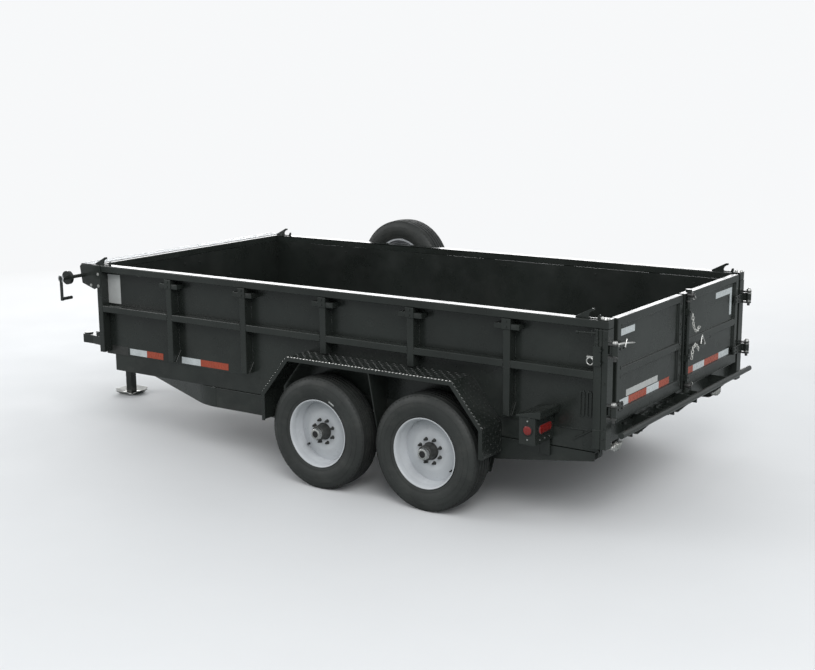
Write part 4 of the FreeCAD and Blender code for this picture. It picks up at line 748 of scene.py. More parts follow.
def add_hub(wheel):
    """A cast hub with eight studs and nuts, and a bright cap with a dark plug."""
    axis = Vector((0.0, outward_of(wheel), 0.0))
    middle, _ = middle_of("tyre_" + wheel)
    hub, half_hub = middle_of("hub_" + wheel)
    reach = abs(hub.y) + half_hub.y - abs(middle.y)
    back = abs(middle.y) - abs(hub.y) + half_hub.y
    face, body = DISC_FACE, "wheel_" + wheel
    bm = bmesh.new()
    lathe(bm, middle, axis, [
        (0.0, -back), (0.152, -back), (0.155, -back + 0.004), (0.155, -0.022),
        (0.15, -0.016), (0.112, -0.003), (0.108, face - 0.0125), (0.0555, face - 0.0125),
        (0.0555, face + 0.004), (0.0535, face + 0.01), (0.053, face + 0.04),
        (0.0505, reach - 0.03), (0.046, reach - 0.026), (0.0, reach - 0.026)], 56)
    bmesh.ops.create_cone(bm, cap_ends=True, segments=40, radius1=0.06, radius2=0.057,
                          depth=0.006, matrix=run_matrix(middle + axis * (face + 0.001),
                                                         middle + axis * (face + 0.007)))
    for angle in LUGS:
        spot = middle + Vector((math.cos(angle), 0.0, math.sin(angle))) * LUG_CIRCLE
        rod(bm, spot + axis * face, spot + axis * (face + 0.005), 0.013, 0.01, 20)
        hexagon(bm, spot + axis * (face + 0.004), spot + axis * (face + 0.019), 0.0098)
        rod(bm, spot + axis * (face + 0.018), spot + axis * (face + 0.03), 0.0058, 0.0052, 12,
            0.001)
    piece("hub_%s_cast" % wheel, bm, body, "hub", 30.0, ("hub_" + wheel,))
    bm = bmesh.new()
    lathe(bm, middle, axis, [
        (0.0, reach - 0.028), (0.0395, reach - 0.028), (0.0405, reach - 0.024),
        (0.0385, reach - 0.02), (0.0375, reach - 0.006), (0.0355, reach - 0.0015),
        (0.0325, reach), (0.0235, reach), (0.0225, reach - 0.003), (0.0, reach - 0.003)], 48)
    piece("hub_%s_cap" % wheel, bm, body, "steel")
    bm = bmesh.new()
    lathe(bm, middle, axis, [
        (0.0, reach - 0.004), (0.0222, reach - 0.004), (0.0222, reach - 0.0012),
        (0.0175, reach - 0.0004), (0.0, reach - 0.0002)], 32)
    piece("hub_%s_plug" % wheel, bm, body, "gasket")


class TRAILER_OT_hubs(bpy.types.Operator):
    """Builds the hubs with their nuts, studs, bright caps and plugs"""
    bl_idname = "trailer.hubs"
    bl_label = "Hubs"

    def execute(self, context):
        for wheel in WHEELS:
            add_hub(wheel)
        return {"FINISHED"}


# Fenders and lamps

def fender_runs():
    """The fender's slopes and its level top, from rear to front, as (start, end) points."""
    low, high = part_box("fender_left")
    middle, knee = (low.x + high.x) / 2, 0.626
    half_top, half_knee = 0.666, 0.893
    path = [Vector((middle + x, 0.0, z)) for x, z in (
        (-half_knee, low.z), (-half_knee, knee), (-half_top, high.z), (half_top, high.z),
        (half_knee, knee), (half_knee, low.z))]
    return middle, list(zip(path, path[1:]))


class TRAILER_OT_tread_plate(bpy.types.Operator):
    """Raises the diamond bars on the fenders' plate, and lays bright bars along its edge as a
    painted highlight
    """
    bl_idname = "trailer.tread_plate"
    bl_label = "Fender Tread Plate"

    def execute(self, context):
        low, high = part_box("fender_left")
        middle, runs = fender_runs()
        for side, name in ((1.0, "left"), (-1.0, "right")):
            bm = bmesh.new()
            for start, end in runs:
                self.cover(bm, start, end, (low.y, high.y), side, middle)
            piece("fender_%s_diamonds" % name, bm, "chassis", "paint", 20.0)
            bm = bmesh.new()
            # Painted highlight: bright steel bars along the top's outer edge stand for the raised
            # bars' glint.
            for start, end in runs[1:4]:
                self.edge(bm, start, end, side * (high.y - 0.01), side)
            piece("fender_%s_edge" % name, bm, "chassis", "steel", 30.0)
        return {"FINISHED"}

    def edge(self, bm, start, end, y, side):
        """Bright steel bars cut off along the plate's outer edge: a painted highlight for the
        glint of the raised bars there.
        """
        along = (end - start).normalized()
        count = int((end - start).length / (sizes().plate_pitch * 0.9))
        upright = along.cross(Vector(LEFT))
        if upright.z < 0:
            upright = -upright
        turn = Matrix((along, upright.cross(along), upright)).transposed().to_4x4()
        for i in range(count):
            spot = start.lerp(end, (i + 0.5) / count) + Vector((0.0, y, 0.0))
            place = (Matrix.Translation(spot) @ turn @ Matrix.Rotation(side * 0.7, 4, "Z")
                     @ Matrix.Diagonal((0.023, 0.008, 0.0022, 1.0)))
            bmesh.ops.create_cone(bm, cap_ends=True, segments=10, radius1=0.5, radius2=0.34,
                                  depth=2.0, matrix=place)

    def cover(self, bm, start, end, width, side, middle):
        """Raised bars, leaning to and fro, over one flat part of the plate."""
        s = sizes()
        along = (end - start).normalized()
        out = along.cross(Vector(LEFT))
        if out.z < 0 or (abs(out.z) < 1e-6 and out.x * (start.x - middle) < 0):
            out = -out
        turn = Matrix((along, Vector(LEFT), out)).transposed().to_4x4()
        inner, outer = width
        rows = int((outer - inner) / s.plate_pitch)
        columns = int((end - start).length / s.plate_pitch)
        for i in range(columns):
            for j in range(rows):
                y = side * (inner + (outer - inner) * (j + 0.5) / rows)
                spot = start.lerp(end, (i + 0.5) / columns) + Vector((0.0, y, 0.0))
                lean = Matrix.Rotation(math.radians(45.0 if (i + j) % 2 else -45.0), 4, "Z")
                place = (Matrix.Translation(spot) @ turn @ lean
                         @ Matrix.Diagonal((s.plate_bar, 0.0065, 0.0014, 1.0)))
                made = bmesh.ops.create_cone(bm, cap_ends=True, segments=8, radius1=0.5,
                                             radius2=0.3, depth=2.0, matrix=place)["verts"]
                if turn.determinant() < 0:
                    faces = list({f for vert in made for f in vert.link_faces})
                    bmesh.ops.reverse_faces(bm, faces=faces)


class TRAILER_OT_lamps(bpy.types.Operator):
    """Builds the oval tail lamps and round markers with their grommets and screws"""
    bl_idname = "trailer.lamps"
    bl_label = "Lamps"

    def execute(self, context):
        lens, rubber, screws = shapes(3)
        height, stretch = 0.672, 0.052
        for side in SIDES:
            marker, out = (0.388, side * 1.29, height), (0.0, side, 0.0)
            lathe(rubber, at(*marker), out, [
                (0.024, 0.0), (0.035, 0.0), (0.0355, 0.003), (0.033, 0.0062),
                (0.029, 0.0062), (0.0275, 0.003), (0.024, 0.003), (0.024, 0.0)], 40)
            lathe(lens, at(*marker), out, [
                (0.0, 0.001), (0.0285, 0.001), (0.0285, 0.004), (0.024, 0.0068), (0.016, 0.0078),
                (0.0, 0.008)], 40)
            x, y = 0.336, 1.17
            middle = at(x, side * y, height)
            for bm, profile in (
                    (rubber, [(0.026, 0.0), (0.034, 0.0), (0.0345, 0.004), (0.031, 0.007),
                              (0.0275, 0.006), (0.026, 0.0)]),
                    (lens, [(0.0, 0.001), (0.028, 0.001), (0.028, 0.007), (0.024, 0.0105),
                            (0.012, 0.0118), (0.0, 0.012)])):
                for vert in lathe(bm, middle, BACK, profile, 48):
                    if abs(vert.co.y - middle.y) > 1e-4:
                        vert.co.y += math.copysign(stretch, vert.co.y - middle.y)
            heads(screws, [(x, side * (y + aside), height - 0.065)
                           for aside in (-0.06, 0.0, 0.06)], BACK, 0.006, 0.004)
            heads(screws, [(0.388, side * 1.29, height + above) for above in (-0.058, 0.058)],
                  out, 0.0055, 0.004)
        piece("lamp_lenses", lens, "chassis", "lens", 40.0, ("lamps",))
        piece("lamp_grommets", rubber, "chassis", "gasket", 40.0)
        piece("lamp_screws", screws, "chassis", "zinc")
        return {"FINISHED"}


# Tapes and plates

def strip(bm, low, high):
    """A thin strip of tape with rounded corners."""
    block(bm, low, high, 0.0003, 1)


class TRAILER_OT_tapes(bpy.types.Operator):
    """Lays the red and white reflective tape and the blank labels"""
    bl_idname = "trailer.tapes"
    bl_label = "Reflective Tape"

    def execute(self, context):
        s = sizes()
        red, white, label, dull = shapes(4)
        low = 0.669
        top = low + s.tape_height
        for side in SIDES:
            near, far = sorted((side * SHEET_FACE, side * (SHEET_FACE + s.tape_thick + 0.0005)))
            for bm, x0, x1, z0, z1 in (
                    (white, 3.845, 4.026, low, top), (red, 3.672, 3.8445, low, top),
                    (white, 3.289, 3.479, low, top), (red, 3.014, 3.2885, low, top),
                    (dull, 4.046, 4.221, low - 0.01, top + 0.006),
                    (label, 4.098, 4.24, 1.06, 1.285)):
                strip(bm, at(x0, near, z0), at(x1, far, z1))
        slab(label, (1.638, 1.0418, 0.545), (1.716, 1.043, 0.6), 0.0)
        piece("side_tape_red", red, "bed", "red_tape")
        piece("side_tape_white", white, "bed", "white_tape")
        piece("side_labels", label, "bed", "label")
        piece("side_reflectors", dull, "bed", "dull_label")
        self.door("left", (("white", 0.797, 0.985), ("red", 0.53, 0.7965),
                           ("white", 0.341, 0.5295), ("red", 0.178, 0.3405)),
                  (0.73, 0.975), 0.94)
        label = bmesh.new()
        strip(label, at(DOOR_SHEET - s.tape_thick - 0.0005, 0.362, 0.8475),
              at(DOOR_SHEET, 0.832, 0.888))
        piece("left_door_label", label, "left_door", "label")
        self.door("right", (("red", -0.226, -0.056), ("white", -0.426, -0.2265),
                            ("red", -0.692, -0.4265), ("white", -0.886, -0.6925)),
                  (-0.905, -0.6), -0.905)
        return {"FINISHED"}

    def door(self, name, lengths, corner, leg):
        """One door's row of tape, and the angle of white tape at its upper corner."""
        s = sizes()
        tapes = {"red": bmesh.new(), "white": bmesh.new()}
        front, low, top = DOOR_SHEET - s.tape_thick - 0.0005, 0.796, 1.281
        for colour, y0, y1 in lengths:
            strip(tapes[colour], at(front, y0, low),
                  at(DOOR_SHEET, y1, low + s.tape_height - 0.004))
        strip(tapes["white"], at(front, corner[0], top - 0.042), at(DOOR_SHEET, corner[1], top))
        strip(tapes["white"], at(front, leg, 1.085), at(DOOR_SHEET, leg + 0.035, top - 0.0425))
        for colour, bm in tapes.items():
            piece("%s_door_tape_%s" % (name, colour), bm, name + "_door", colour + "_tape")


# Doors

class TRAILER_OT_door_fittings(bpy.types.Operator):
    """Adds the doors' bolts, welds and chains, the latch knobs, the keeper and the pull lever"""
    bl_idname = "trailer.door_fittings"
    bl_label = "Door Fittings"

    def execute(self, context):
        self.pins()
        self.chains()
        self.handle()
        self.bolts_and_stitches()
        self.latch_knobs()
        return {"FINISHED"}

    def latch_knobs(self):
        """Knobs and pull rings at both ends of the latch bar, and its guides' bolts."""
        dark, bright = shapes(2)
        for z, drop in ((1.352, -1.0), (0.742, 1.0)):
            bar(dark, (-0.066, LATCH, z), (-0.104, LATCH, z), 0.0165, 28, 0.002)
            bar(dark, (-0.104, LATCH, z), (-0.113, LATCH, z), 0.011, 20, 0.002)
            hoop(bright, at(-0.108, LATCH, z + drop * 0.016), (0.35, 0.94, 0.0), 0.0125,
                 0.0026, 28, 8)
            bar(dark, (-0.07, LATCH, z + drop * 0.036), (-0.07, LATCH, z + drop * 0.048),
                0.0185, 24)
        for z in (0.795, 0.927, 1.24):
            heads(dark, [(-0.087, LATCH, z)], BACK, 0.0075, 0.005)
        piece("latch_knobs", dark, "right_door", "bolt")
        piece("latch_rings", bright, "right_door", "zinc")

    def bolts_and_stitches(self):
        """The inner stiles' bolts, and the short welds between sheet and rails."""
        for side, body in ((1.0, "left_door"), (-1.0, "right_door")):
            bolts, beads = shapes(2)
            if side > 0:
                heads(bolts, [(-0.055, 0.042, 0.76 + 0.068 * i) for i in range(9)], BACK, 0.0065,
                      0.0045)
            heads(bolts, [(-0.067, side * y, z) for y in (0.936, 0.985)
                          for z in (0.798, 0.826, 1.171, 1.199)], BACK, 0.007, 0.005)
            x = DOOR_SHEET - 0.001
            for z in (0.9955, 1.049, 0.7945, 1.308):
                for i in range(18):
                    y = 0.095 + 0.046 * i
                    weld(beads, (x, side * y, z), (x, side * (y + 0.02), z), 0.006)
            for z in (0.795, 0.996, 1.049, 1.308):
                for y in (0.0662, 0.949):
                    stitch(beads, (-0.0548, side * y, z), UP, 0.012, 0.005)
            piece("%s_bolts" % body, bolts, body, "bolt")
            piece("%s_welds" % body, beads, body, "paint", 60.0)

    def pins(self):
        """The door pins' bright caps and tips, and their collars."""
        bright, dark = shapes(2)
        for side in SIDES:
            for z in (1.185, 0.812):
                pin = at(-0.092, side * 1.112, z)
                lathe(bright, pin, UP, [
                    (0.0, 0.03), (0.013, 0.03), (0.0175, 0.034), (0.0185, 0.046),
                    (0.015, 0.057), (0.008, 0.0625), (0.0, 0.063)], 28)
                lathe(bright, pin, UP, [
                    (0.0, -0.063), (0.004, -0.06), (0.0125, -0.036), (0.0125, -0.03),
                    (0.0, -0.03)], 24)
                lathe(dark if side > 0 else bright, pin, UP, [
                    (0.0, -0.03), (0.019, -0.03), (0.019, -0.02), (0.0182, -0.018),
                    (0.0182, 0.018), (0.019, 0.02), (0.019, 0.03), (0.0, 0.03)], 28)
        piece("door_pin_caps", bright, "bed", "zinc")
        piece("door_pin_collars", dark, "bed", "paint")

    def chains(self):
        """The two short chains of the latch bar's pins."""
        bm = bmesh.new()
        for points in (
                ((-0.1, -0.04, 1.228), (-0.104, -0.044, 1.18), (-0.106, -0.05, 1.143),
                 (-0.108, -0.08, 1.108), (-0.108, -0.118, 1.103), (-0.106, -0.15, 1.127)),
                ((-0.104, -0.04, 0.922), (-0.106, -0.046, 0.965), (-0.106, -0.052, 0.995),
                 (-0.108, -0.09, 1.018), (-0.108, -0.122, 1.0), (-0.106, -0.15, 0.964))):
            self.chain(bm, [at(*point) for point in points], sizes().chain_link)
        piece("latch_chains", bm, "right_door", "rope", 60.0)

    def chain(self, bm, points, link_long):
        """Links that follow the points, each turned a quarter from the last."""
        runs = [(b - a).length for a, b in zip(points, points[1:])]
        total = sum(runs)
        count = int(total / (link_long * 0.72))
        for i in range(count):
            at = total * (i + 0.5) / count
            k = 0
            while k < len(runs) - 1 and at > runs[k]:
                at -= runs[k]
                k += 1
            spot = points[k].lerp(points[k + 1], min(1.0, at / runs[k]))
            turn = (points[k + 1] - points[k]).to_track_quat("X", "Z").to_matrix().to_4x4()
            roll = Matrix.Rotation(math.radians(90.0 * (i % 2)), 4, "X")
            made = hoop(bm, (0.0, 0.0, 0.0), UP, link_long * 0.29, link_long * 0.105, 14, 8)
            for vert in made:
                vert.co.x += math.copysign(link_long * 0.19, vert.co.x)
            bmesh.ops.transform(bm, verts=made, matrix=Matrix.Translation(spot) @ turn @ roll)

    def handle(self):
        """The far door's keeper with its ring, and the near door's pull lever."""
        bm = bmesh.new()
        block(bm, at(-0.049, -0.52, 0.985), at(-0.036, -0.36, 1.04), 0.002)
        piece("far_door_keeper", bm, "right_door", "paint")
        bm = bmesh.new()
        bent_rod(bm, [at(-0.052, -0.345, 1.03), at(-0.06, -0.3, 0.965),
                      at(-0.06, -0.385, 0.965)], 0.005, closed=True)
        piece("far_door_ring", bm, "right_door", "zinc")
        bm = bmesh.new()
        slab(bm, (-0.074, 1.01, 1.192), (-0.0665, 1.04, 1.211))
        bar(bm, (-0.07, 1.03, 1.208), (-0.104, 0.98, 1.214), 0.0075, 16)
        bar(bm, (-0.104, 0.985, 1.214), (-0.104, 0.87, 1.196), 0.006, 16)
        bar(bm, (-0.104, 1.0, 1.19), (-0.104, 0.978, 1.238), 0.0055, 16)
        piece("near_pin_lever", bm, "left_door", "zinc")


# Bed

class TRAILER_OT_rear_corners(bpy.types.Operator):
    """Adds the corner posts' pull rings and bolts, and the plated bolts below the frame"""
    bl_idname = "trailer.rear_corners"
    bl_label = "Rear Corners"

    def execute(self, context):
        bright, dark, beads = shapes(3)
        for side in SIDES:
            out = (0.0, side, 0.0)
            y = side * 1.126
            bar(bright, (0.036, y, 1.137), (0.08, y, 1.137), 0.0055)
            heads(bright, [(0.074, y, 1.137)], AHEAD, 0.01, 0.008)
            hoop(bright, at(0.062, y, 1.1095), out, 0.022, 0.0045, 36, 12)
            for x in (-0.036, 0.001):
                lathe(bright, at(x, side * 1.092, 1.366), UP, [
                    (0.0, 0.0), (0.0125, 0.0), (0.0125, 0.004), (0.0105, 0.0085),
                    (0.006, 0.0112), (0.0, 0.0118)], 24)
            for z in (1.222, 1.246, 1.298):
                bar(dark, (0.0205, side * 1.125, z), (0.0205, side * 1.125, z + 0.009), 0.012)
            y = side * 1.127
            bar(dark, (0.0205, y, 1.284), (0.148, y, 1.279), 0.0058)
            bar(dark, (0.14, y, 1.279), (0.156, y, 1.279), 0.0092)
            bar(dark, (0.052, y, 1.3), (0.052, y, 1.262), 0.005)
            heads(dark, [(-0.008, side * 1.134, z) for z in (1.106, 1.182)], out, 0.0085, 0.006)
            heads(dark, [(-0.03, side * 1.12, z) for z in (0.64, 0.705, 0.98, 1.25)],
                  out, 0.007, 0.005)
            y = side * POST_FACE
            for z in (0.69, 1.3):
                weld(beads, (-0.049, y, z), (0.04, y, z), 0.006)
            weld(beads, (0.0415, side * 1.05, 0.66), (0.0415, side * 1.05, 1.3), 0.007)
            for x in (0.098, 0.146):
                for z in (0.742, 0.903):
                    stitch(beads, (x, side * 1.0465, z), AHEAD, 0.012, 0.006)
            self.drop_bolt(bright, dark, side)
            self.sill_end(dark, beads, side)
        for y0, y1, low in ((0.6, 0.78, 0.566), (0.39, 0.54, 0.585), (0.185, 0.3, 0.602),
                            (-0.29, 0.13, 0.56)):
            self.bracket(dark, y0, y1, low)
        piece("corner_bright", bright, "bed", "zinc")
        piece("corner_hardware", dark, "bed", "paint")
        piece("corner_welds", beads, "bed", "paint", 60.0)
        return {"FINISHED"}

    def sill_end(self, dark, beads, side):
        """The plate that closes the sill behind the last post, with its leaning rib."""
        slab(dark, (0.0405, side * 1.0428, 0.53), (0.14, side * 1.0452, 0.656), 0.0008)
        plate(dark, [at(x, side * 1.045, z) for x, z in (
            (0.06, 0.672), (0.072, 0.672), (0.2, 0.6), (0.2, 0.588))],
            (0.0, side, 0.0), 0.01, 0.001)
        y = side * SHEET_FACE
        weld(beads, (0.045, y, 0.6555), (0.29, y, 0.6555), 0.006)

    def bracket(self, bm, y0, y1, low):
        """A rounded bracket behind the cross bar, with a bolt at each of its ends."""
        middle = (y0 + y1) / 2
        slab(bm, (-0.012, y0, low + 0.02), (0.001, y1, 0.665))
        bar(bm, (-0.014, y0 + 0.012, low + 0.018), (-0.014, y1 - 0.012, low + 0.018), 0.015)
        for y in (y0 + 0.016, y1 - 0.016):
            slab(bm, (-0.06, y - 0.005, low + 0.01), (-0.008, y + 0.005, 0.65))
            heads(bm, [(-0.012, y + (0.02 if y < middle else -0.02), 0.64)], BACK, 0.0085, 0.006)

    def drop_bolt(self, bright, dark, side):
        """A plated bolt with its nuts through a lug under the rear frame."""
        x, z = 0.02, 0.524
        slab(dark, (0.002, side * 0.822, 0.496), (0.044, side * 0.836, 0.575))
        bar(bright, (x, side * 0.756, z), (x, side * 0.906, z), 0.0115)
        for start, end, radius, sides in (
                (0.836, 0.842, 0.03, 28), (0.842, 0.868, 0.0235, 6), (0.868, 0.886, 0.0175, 28),
                (0.822, 0.816, 0.03, 28), (0.816, 0.79, 0.0235, 6)):
            bar(bright, (x, side * start, z), (x, side * end, z), radius, sides, 0.0015)
        bar(bright, (x - 0.014, side * 0.876, z - 0.026), (x + 0.012, side * 0.876, z + 0.028),
            0.0035)


class TRAILER_OT_body_details(bpy.types.Operator):
    """Adds the gussets, welds and bolts of the bed's sides, floor and front wall"""
    bl_idname = "trailer.body_details"
    bl_label = "Bed Welds and Gussets"

    def execute(self, context):
        dark, beads, inner = shapes(3)
        for side in SIDES:
            for number in range(5):
                self.post(dark, beads, side, 0.639 + 0.72 * number, number in (0, 3, 4))
            for x in (3.809, 4.305):
                stitch(beads, (x, side * POST_FACE, 1.3085), AHEAD, 0.024, 0.006)
            weld(inner, (0.02, side * 1.0385, 0.7525), (4.26, side * 1.0385, 0.7525), 0.01)
            heads(inner, [(x, side * 1.0425, 1.262) for x in (0.3, 1.1, 1.9, 2.7, 3.5)],
                  (0.0, -side, 0.0), 0.008, 0.004)
        weld(inner, (4.2735, -1.03, 0.7525), (4.2735, 1.03, 0.7525), 0.01)
        heads(inner, [(4.2762, y, z) for y, z in (
            (0.151, 1.247), (-0.029, 1.241), (-0.409, 1.089), (0.409, 1.089))],
              BACK, 0.01, 0.005, 0.015)
        for y in (-0.86, -0.52, 0.0, 0.52, 0.86):
            weld(beads, (-0.0005, y - 0.05, 0.69), (-0.0005, y + 0.05, 0.69))
        self.hooks()
        piece("bed_gussets", dark, "bed", "paint")
        piece("bed_outer_welds", beads, "bed", "paint", 60.0)
        piece("bed_inner_welds", inner, "bed", "inside", 60.0)
        return {"FINISHED"}

    def hooks(self):
        """Hooks on the top rails, each leaning back over a hollow and a short prong."""
        outline = ((0.125, 0.0), (0.125, 0.006), (0.016, 0.062), (0.004, 0.062), (0.0, 0.056),
                   (0.002, 0.05), (0.016, 0.044), (0.028, 0.034), (0.035, 0.022),
                   (0.036, 0.01), (0.03, 0.006), (-0.02, 0.006), (-0.026, 0.024),
                   (-0.036, 0.029), (-0.04, 0.024), (-0.04, 0.0))
        bm = bmesh.new()
        for side in SIDES:
            for tip in (0.058, 4.19):
                plate(bm, [at(tip + x, side * 1.0785, 1.3598 + z) for x, z in outline],
                      (0.0, side, 0.0), 0.012, 0.0012)
                bar(bm, (tip + 0.0075, side * 1.0775, 1.414), (tip + 0.0075, side * 1.0915, 1.414),
                    0.0075)
        piece("board_hooks_cut", bm, "bed", "paint", 30.0, ("board_hooks",))

    def post(self, dark, beads, side, middle, long):
        """One post's welds, and the gussets at its foot where it reaches the sill."""
        edges = (middle - 0.0262, middle + 0.0262)
        y = side * 1.048
        for x in edges:
            weld(beads, (x, side * POST_FACE, 1.001), (x, side * POST_FACE, 1.046), 0.006)
            weld(beads, (x, y, 1.055 if long else 1.06), (x, y, 1.235), 0.006)
        stitch(beads, (middle, side * POST_FACE, 1.2395), AHEAD, 0.025, 0.006)
        heads(dark, [(middle, side * 1.128, z) for z in (1.256, 1.29)], (0.0, side, 0.0),
              0.008, 0.005)
        if not long:
            return
        foot = ((SHEET_FACE, 0.69), (1.1, 0.69), (SHEET_FACE, 0.77))
        for x in (middle - 0.034, middle + 0.028):
            plate(dark, [at(x, side * y, z) for y, z in foot], AHEAD, 0.006, 0.0008)
        for x in edges:
            weld(beads, (x, y, 0.775), (x, y, 0.99), 0.006)


class TRAILER_OT_tarp_kit(bpy.types.Operator):
    """Adds the tarp housing's ribs and screws, the roll's straps and the crank's fittings"""
    bl_idname = "trailer.tarp_kit"
    bl_label = "Tarp Kit"

    def execute(self, context):
        pale, dark, bright = shapes(3)
        for x in (4.338, 4.3575, 4.381, 4.4045, 4.424):
            slab(pale, (x - 0.0022, -1.119, 1.3625), (x + 0.0022, 1.119, 1.3665), 0.0008)
        for z in (1.334, 1.3445, 1.355):
            slab(pale, (4.3235, -1.119, z - 0.0015), (4.326, 1.119, z + 0.0015), 0.0005)
        for side in SIDES:
            slab(dark, (4.326, side * 1.1195, 1.325), (4.435, side * 1.1235, 1.3635))
            heads(bright, [(x, side * 1.1235, 1.344) for x in (4.342, 4.419)],
                  (0.0, side, 0.0), 0.0065, 0.004)
        heads(bright, [(4.393, -1.05 + 0.3 * i, 1.3645) for i in range(8)], UP,
              0.0055, 0.0035, 0.008)
        for y in (-0.85, -0.3, 0.3, 0.85):
            lathe(dark, at(4.409, y, 1.274), LEFT, [
                (0.0455, -0.019), (0.0475, -0.018), (0.0475, 0.018), (0.0455, 0.019),
                (0.0455, -0.019)], 40)
            slab(bright, (4.3595, y - 0.022, 1.262), (4.3625, y + 0.022, 1.286), 0.001)
        lathe(pale, at(4.409, 1.3565, 1.274), LEFT, [
            (0.0, 0.0), (0.03, 0.0), (0.03, 0.0015), (0.027, 0.003), (0.0, 0.0034)], 36)
        heads(bright, [(4.409, 1.359, 1.274)], LEFT, 0.01, 0.0008)
        for side in SIDES:
            heads(bright, [(x, side * 1.128, z) for x, z in ((4.25, 1.2), (4.25, 1.29),
                                                             (4.33, 1.2))],
                  (0.0, side, 0.0), 0.0085, 0.0055, 0.0125)
        piece("tarp_housing_ribs", pale, "bed", "aluminium")
        piece("tarp_straps_and_ends", dark, "bed", "gasket")
        piece("tarp_screws", bright, "bed", "zinc")
        return {"FINISHED"}


# Front and running gear

class TRAILER_OT_front_gear(bpy.types.Operator):
    """Adds the jack's foot ribs, pin and grip, the coupler's bolts and the box's latch"""
    bl_idname = "trailer.front_gear"
    bl_label = "Jack, Coupler and Box"

    def execute(self, context):
        bright, dark, soft_parts = shapes(3)
        self.jack(bright, dark, soft_parts)
        self.coupler(bright, dark)
        self.tongue_box(bright, dark)
        piece("front_plated_parts", bright, "chassis", "zinc")
        piece("front_painted_parts", dark, "chassis", "paint", 50.0)
        piece("front_rubber_parts", soft_parts, "chassis", "gasket", 50.0)
        return {"FINISHED"}

    def jack(self, bright, dark, soft_parts):
        """The foot's ribs and rim, the pin with its ring, the crank's grip, bolts and welds."""
        x = JACK
        for i in range(4):
            turn = Matrix.Rotation(math.radians(45.0 + 90.0 * i), 4, "Z")
            place = (Matrix.Translation(at(x, 0.0, 0.0075)) @ turn
                     @ Matrix.Translation((0.062, 0.0, 0.0))
                     @ Matrix.Diagonal((0.07, 0.006, 0.01, 1.0)))
            bmesh.ops.create_cube(bright, size=1.0, matrix=place)
        lathe(bright, at(x, 0.0, 0.0), UP, [
            (0.05, 0.0058), (0.062, 0.0058), (0.061, 0.009), (0.051, 0.009),
            (0.05, 0.0058)], 48)
        bar(bright, (x, -0.062, 0.3), (x, 0.056, 0.3), 0.008)
        hoop(bright, at(x, 0.07, 0.3), AHEAD, 0.015, 0.0022, 28, 8)
        rod(bright, at(x, -0.0375, 0.84), at(x, -0.052, 0.84), 0.0165, soft=0.002)
        rod(soft_parts, at(x, -0.108, 0.69), at(x, -0.108, 0.79), 0.015, soft=0.003)
        heads(bright, [(px, side * py, 0.533) for px, py in ((5.01, 0.165), (5.225, 0.112))
                       for side in SIDES], UP, 0.011, 0.008, 0.016)
        heads(bright, [(x, 0.0, 0.922)], UP, 0.009, 0.006, 0.013)
        for side in SIDES:
            stitch(dark, (x, side * 0.0395, 0.5345), AHEAD, 0.037, 0.008)
            stitch(dark, (x + side * 0.0395, 0.0, 0.5345), LEFT, 0.037, 0.008)
            z = 0.448 + side * 0.04
            weld(dark, (5.264, -0.09, z), (5.264, 0.09, z), 0.008)

    def coupler(self, bright, dark):
        """The coupler's bolts, its latch's cheeks and pin, and the socket's rim."""
        for side in SIDES:
            aim = (0.167, side * 0.986, 0.0)
            heads(bright, [(5.3, side * 0.0895, 0.448), (5.36, side * 0.0793, 0.448)], aim,
                  0.012, 0.009, 0.018)
            heads(bright, [(5.46, side * 0.014, 0.503)], (0.0, side, 0.0), 0.009, 0.005)
            plate(dark, [at(px, side * 0.02, pz) for px, pz in (
                (5.43, 0.486), (5.5, 0.486), (5.485, 0.514), (5.445, 0.514))],
                (0.0, side, 0.0), 0.006, 0.001)
        lathe(dark, at(5.656, 0.0, 0.4085), UP, [
            (0.0315, 0.0005), (0.042, 0.0005), (0.0425, 0.004), (0.0315, 0.004),
            (0.0315, 0.0005)], 40)
        bar(bright, (5.52, -0.018, 0.511), (5.52, 0.018, 0.511), 0.0055)

    def tongue_box(self, bright, dark):
        """The box's lock, its louvres and its foot bolts."""
        lathe(bright, at(4.8875, 0.0, 0.735), AHEAD, [
            (0.0, 0.0), (0.024, 0.0), (0.025, 0.003), (0.02, 0.0065), (0.0, 0.0065)], 32)
        slab(bright, (4.893, -0.006, 0.718), (4.902, 0.006, 0.752), 0.002)
        for side in SIDES:
            for i in range(4):
                z = 0.64 - 0.026 * i
                slab(dark, (4.56, side * 0.1895, z), (4.74, side * 0.1935, z + 0.01))
            heads(bright, [(x, side * 0.19, 0.446) for x in (4.45, 4.85)],
                  (0.0, side, 0.0), 0.007, 0.005)


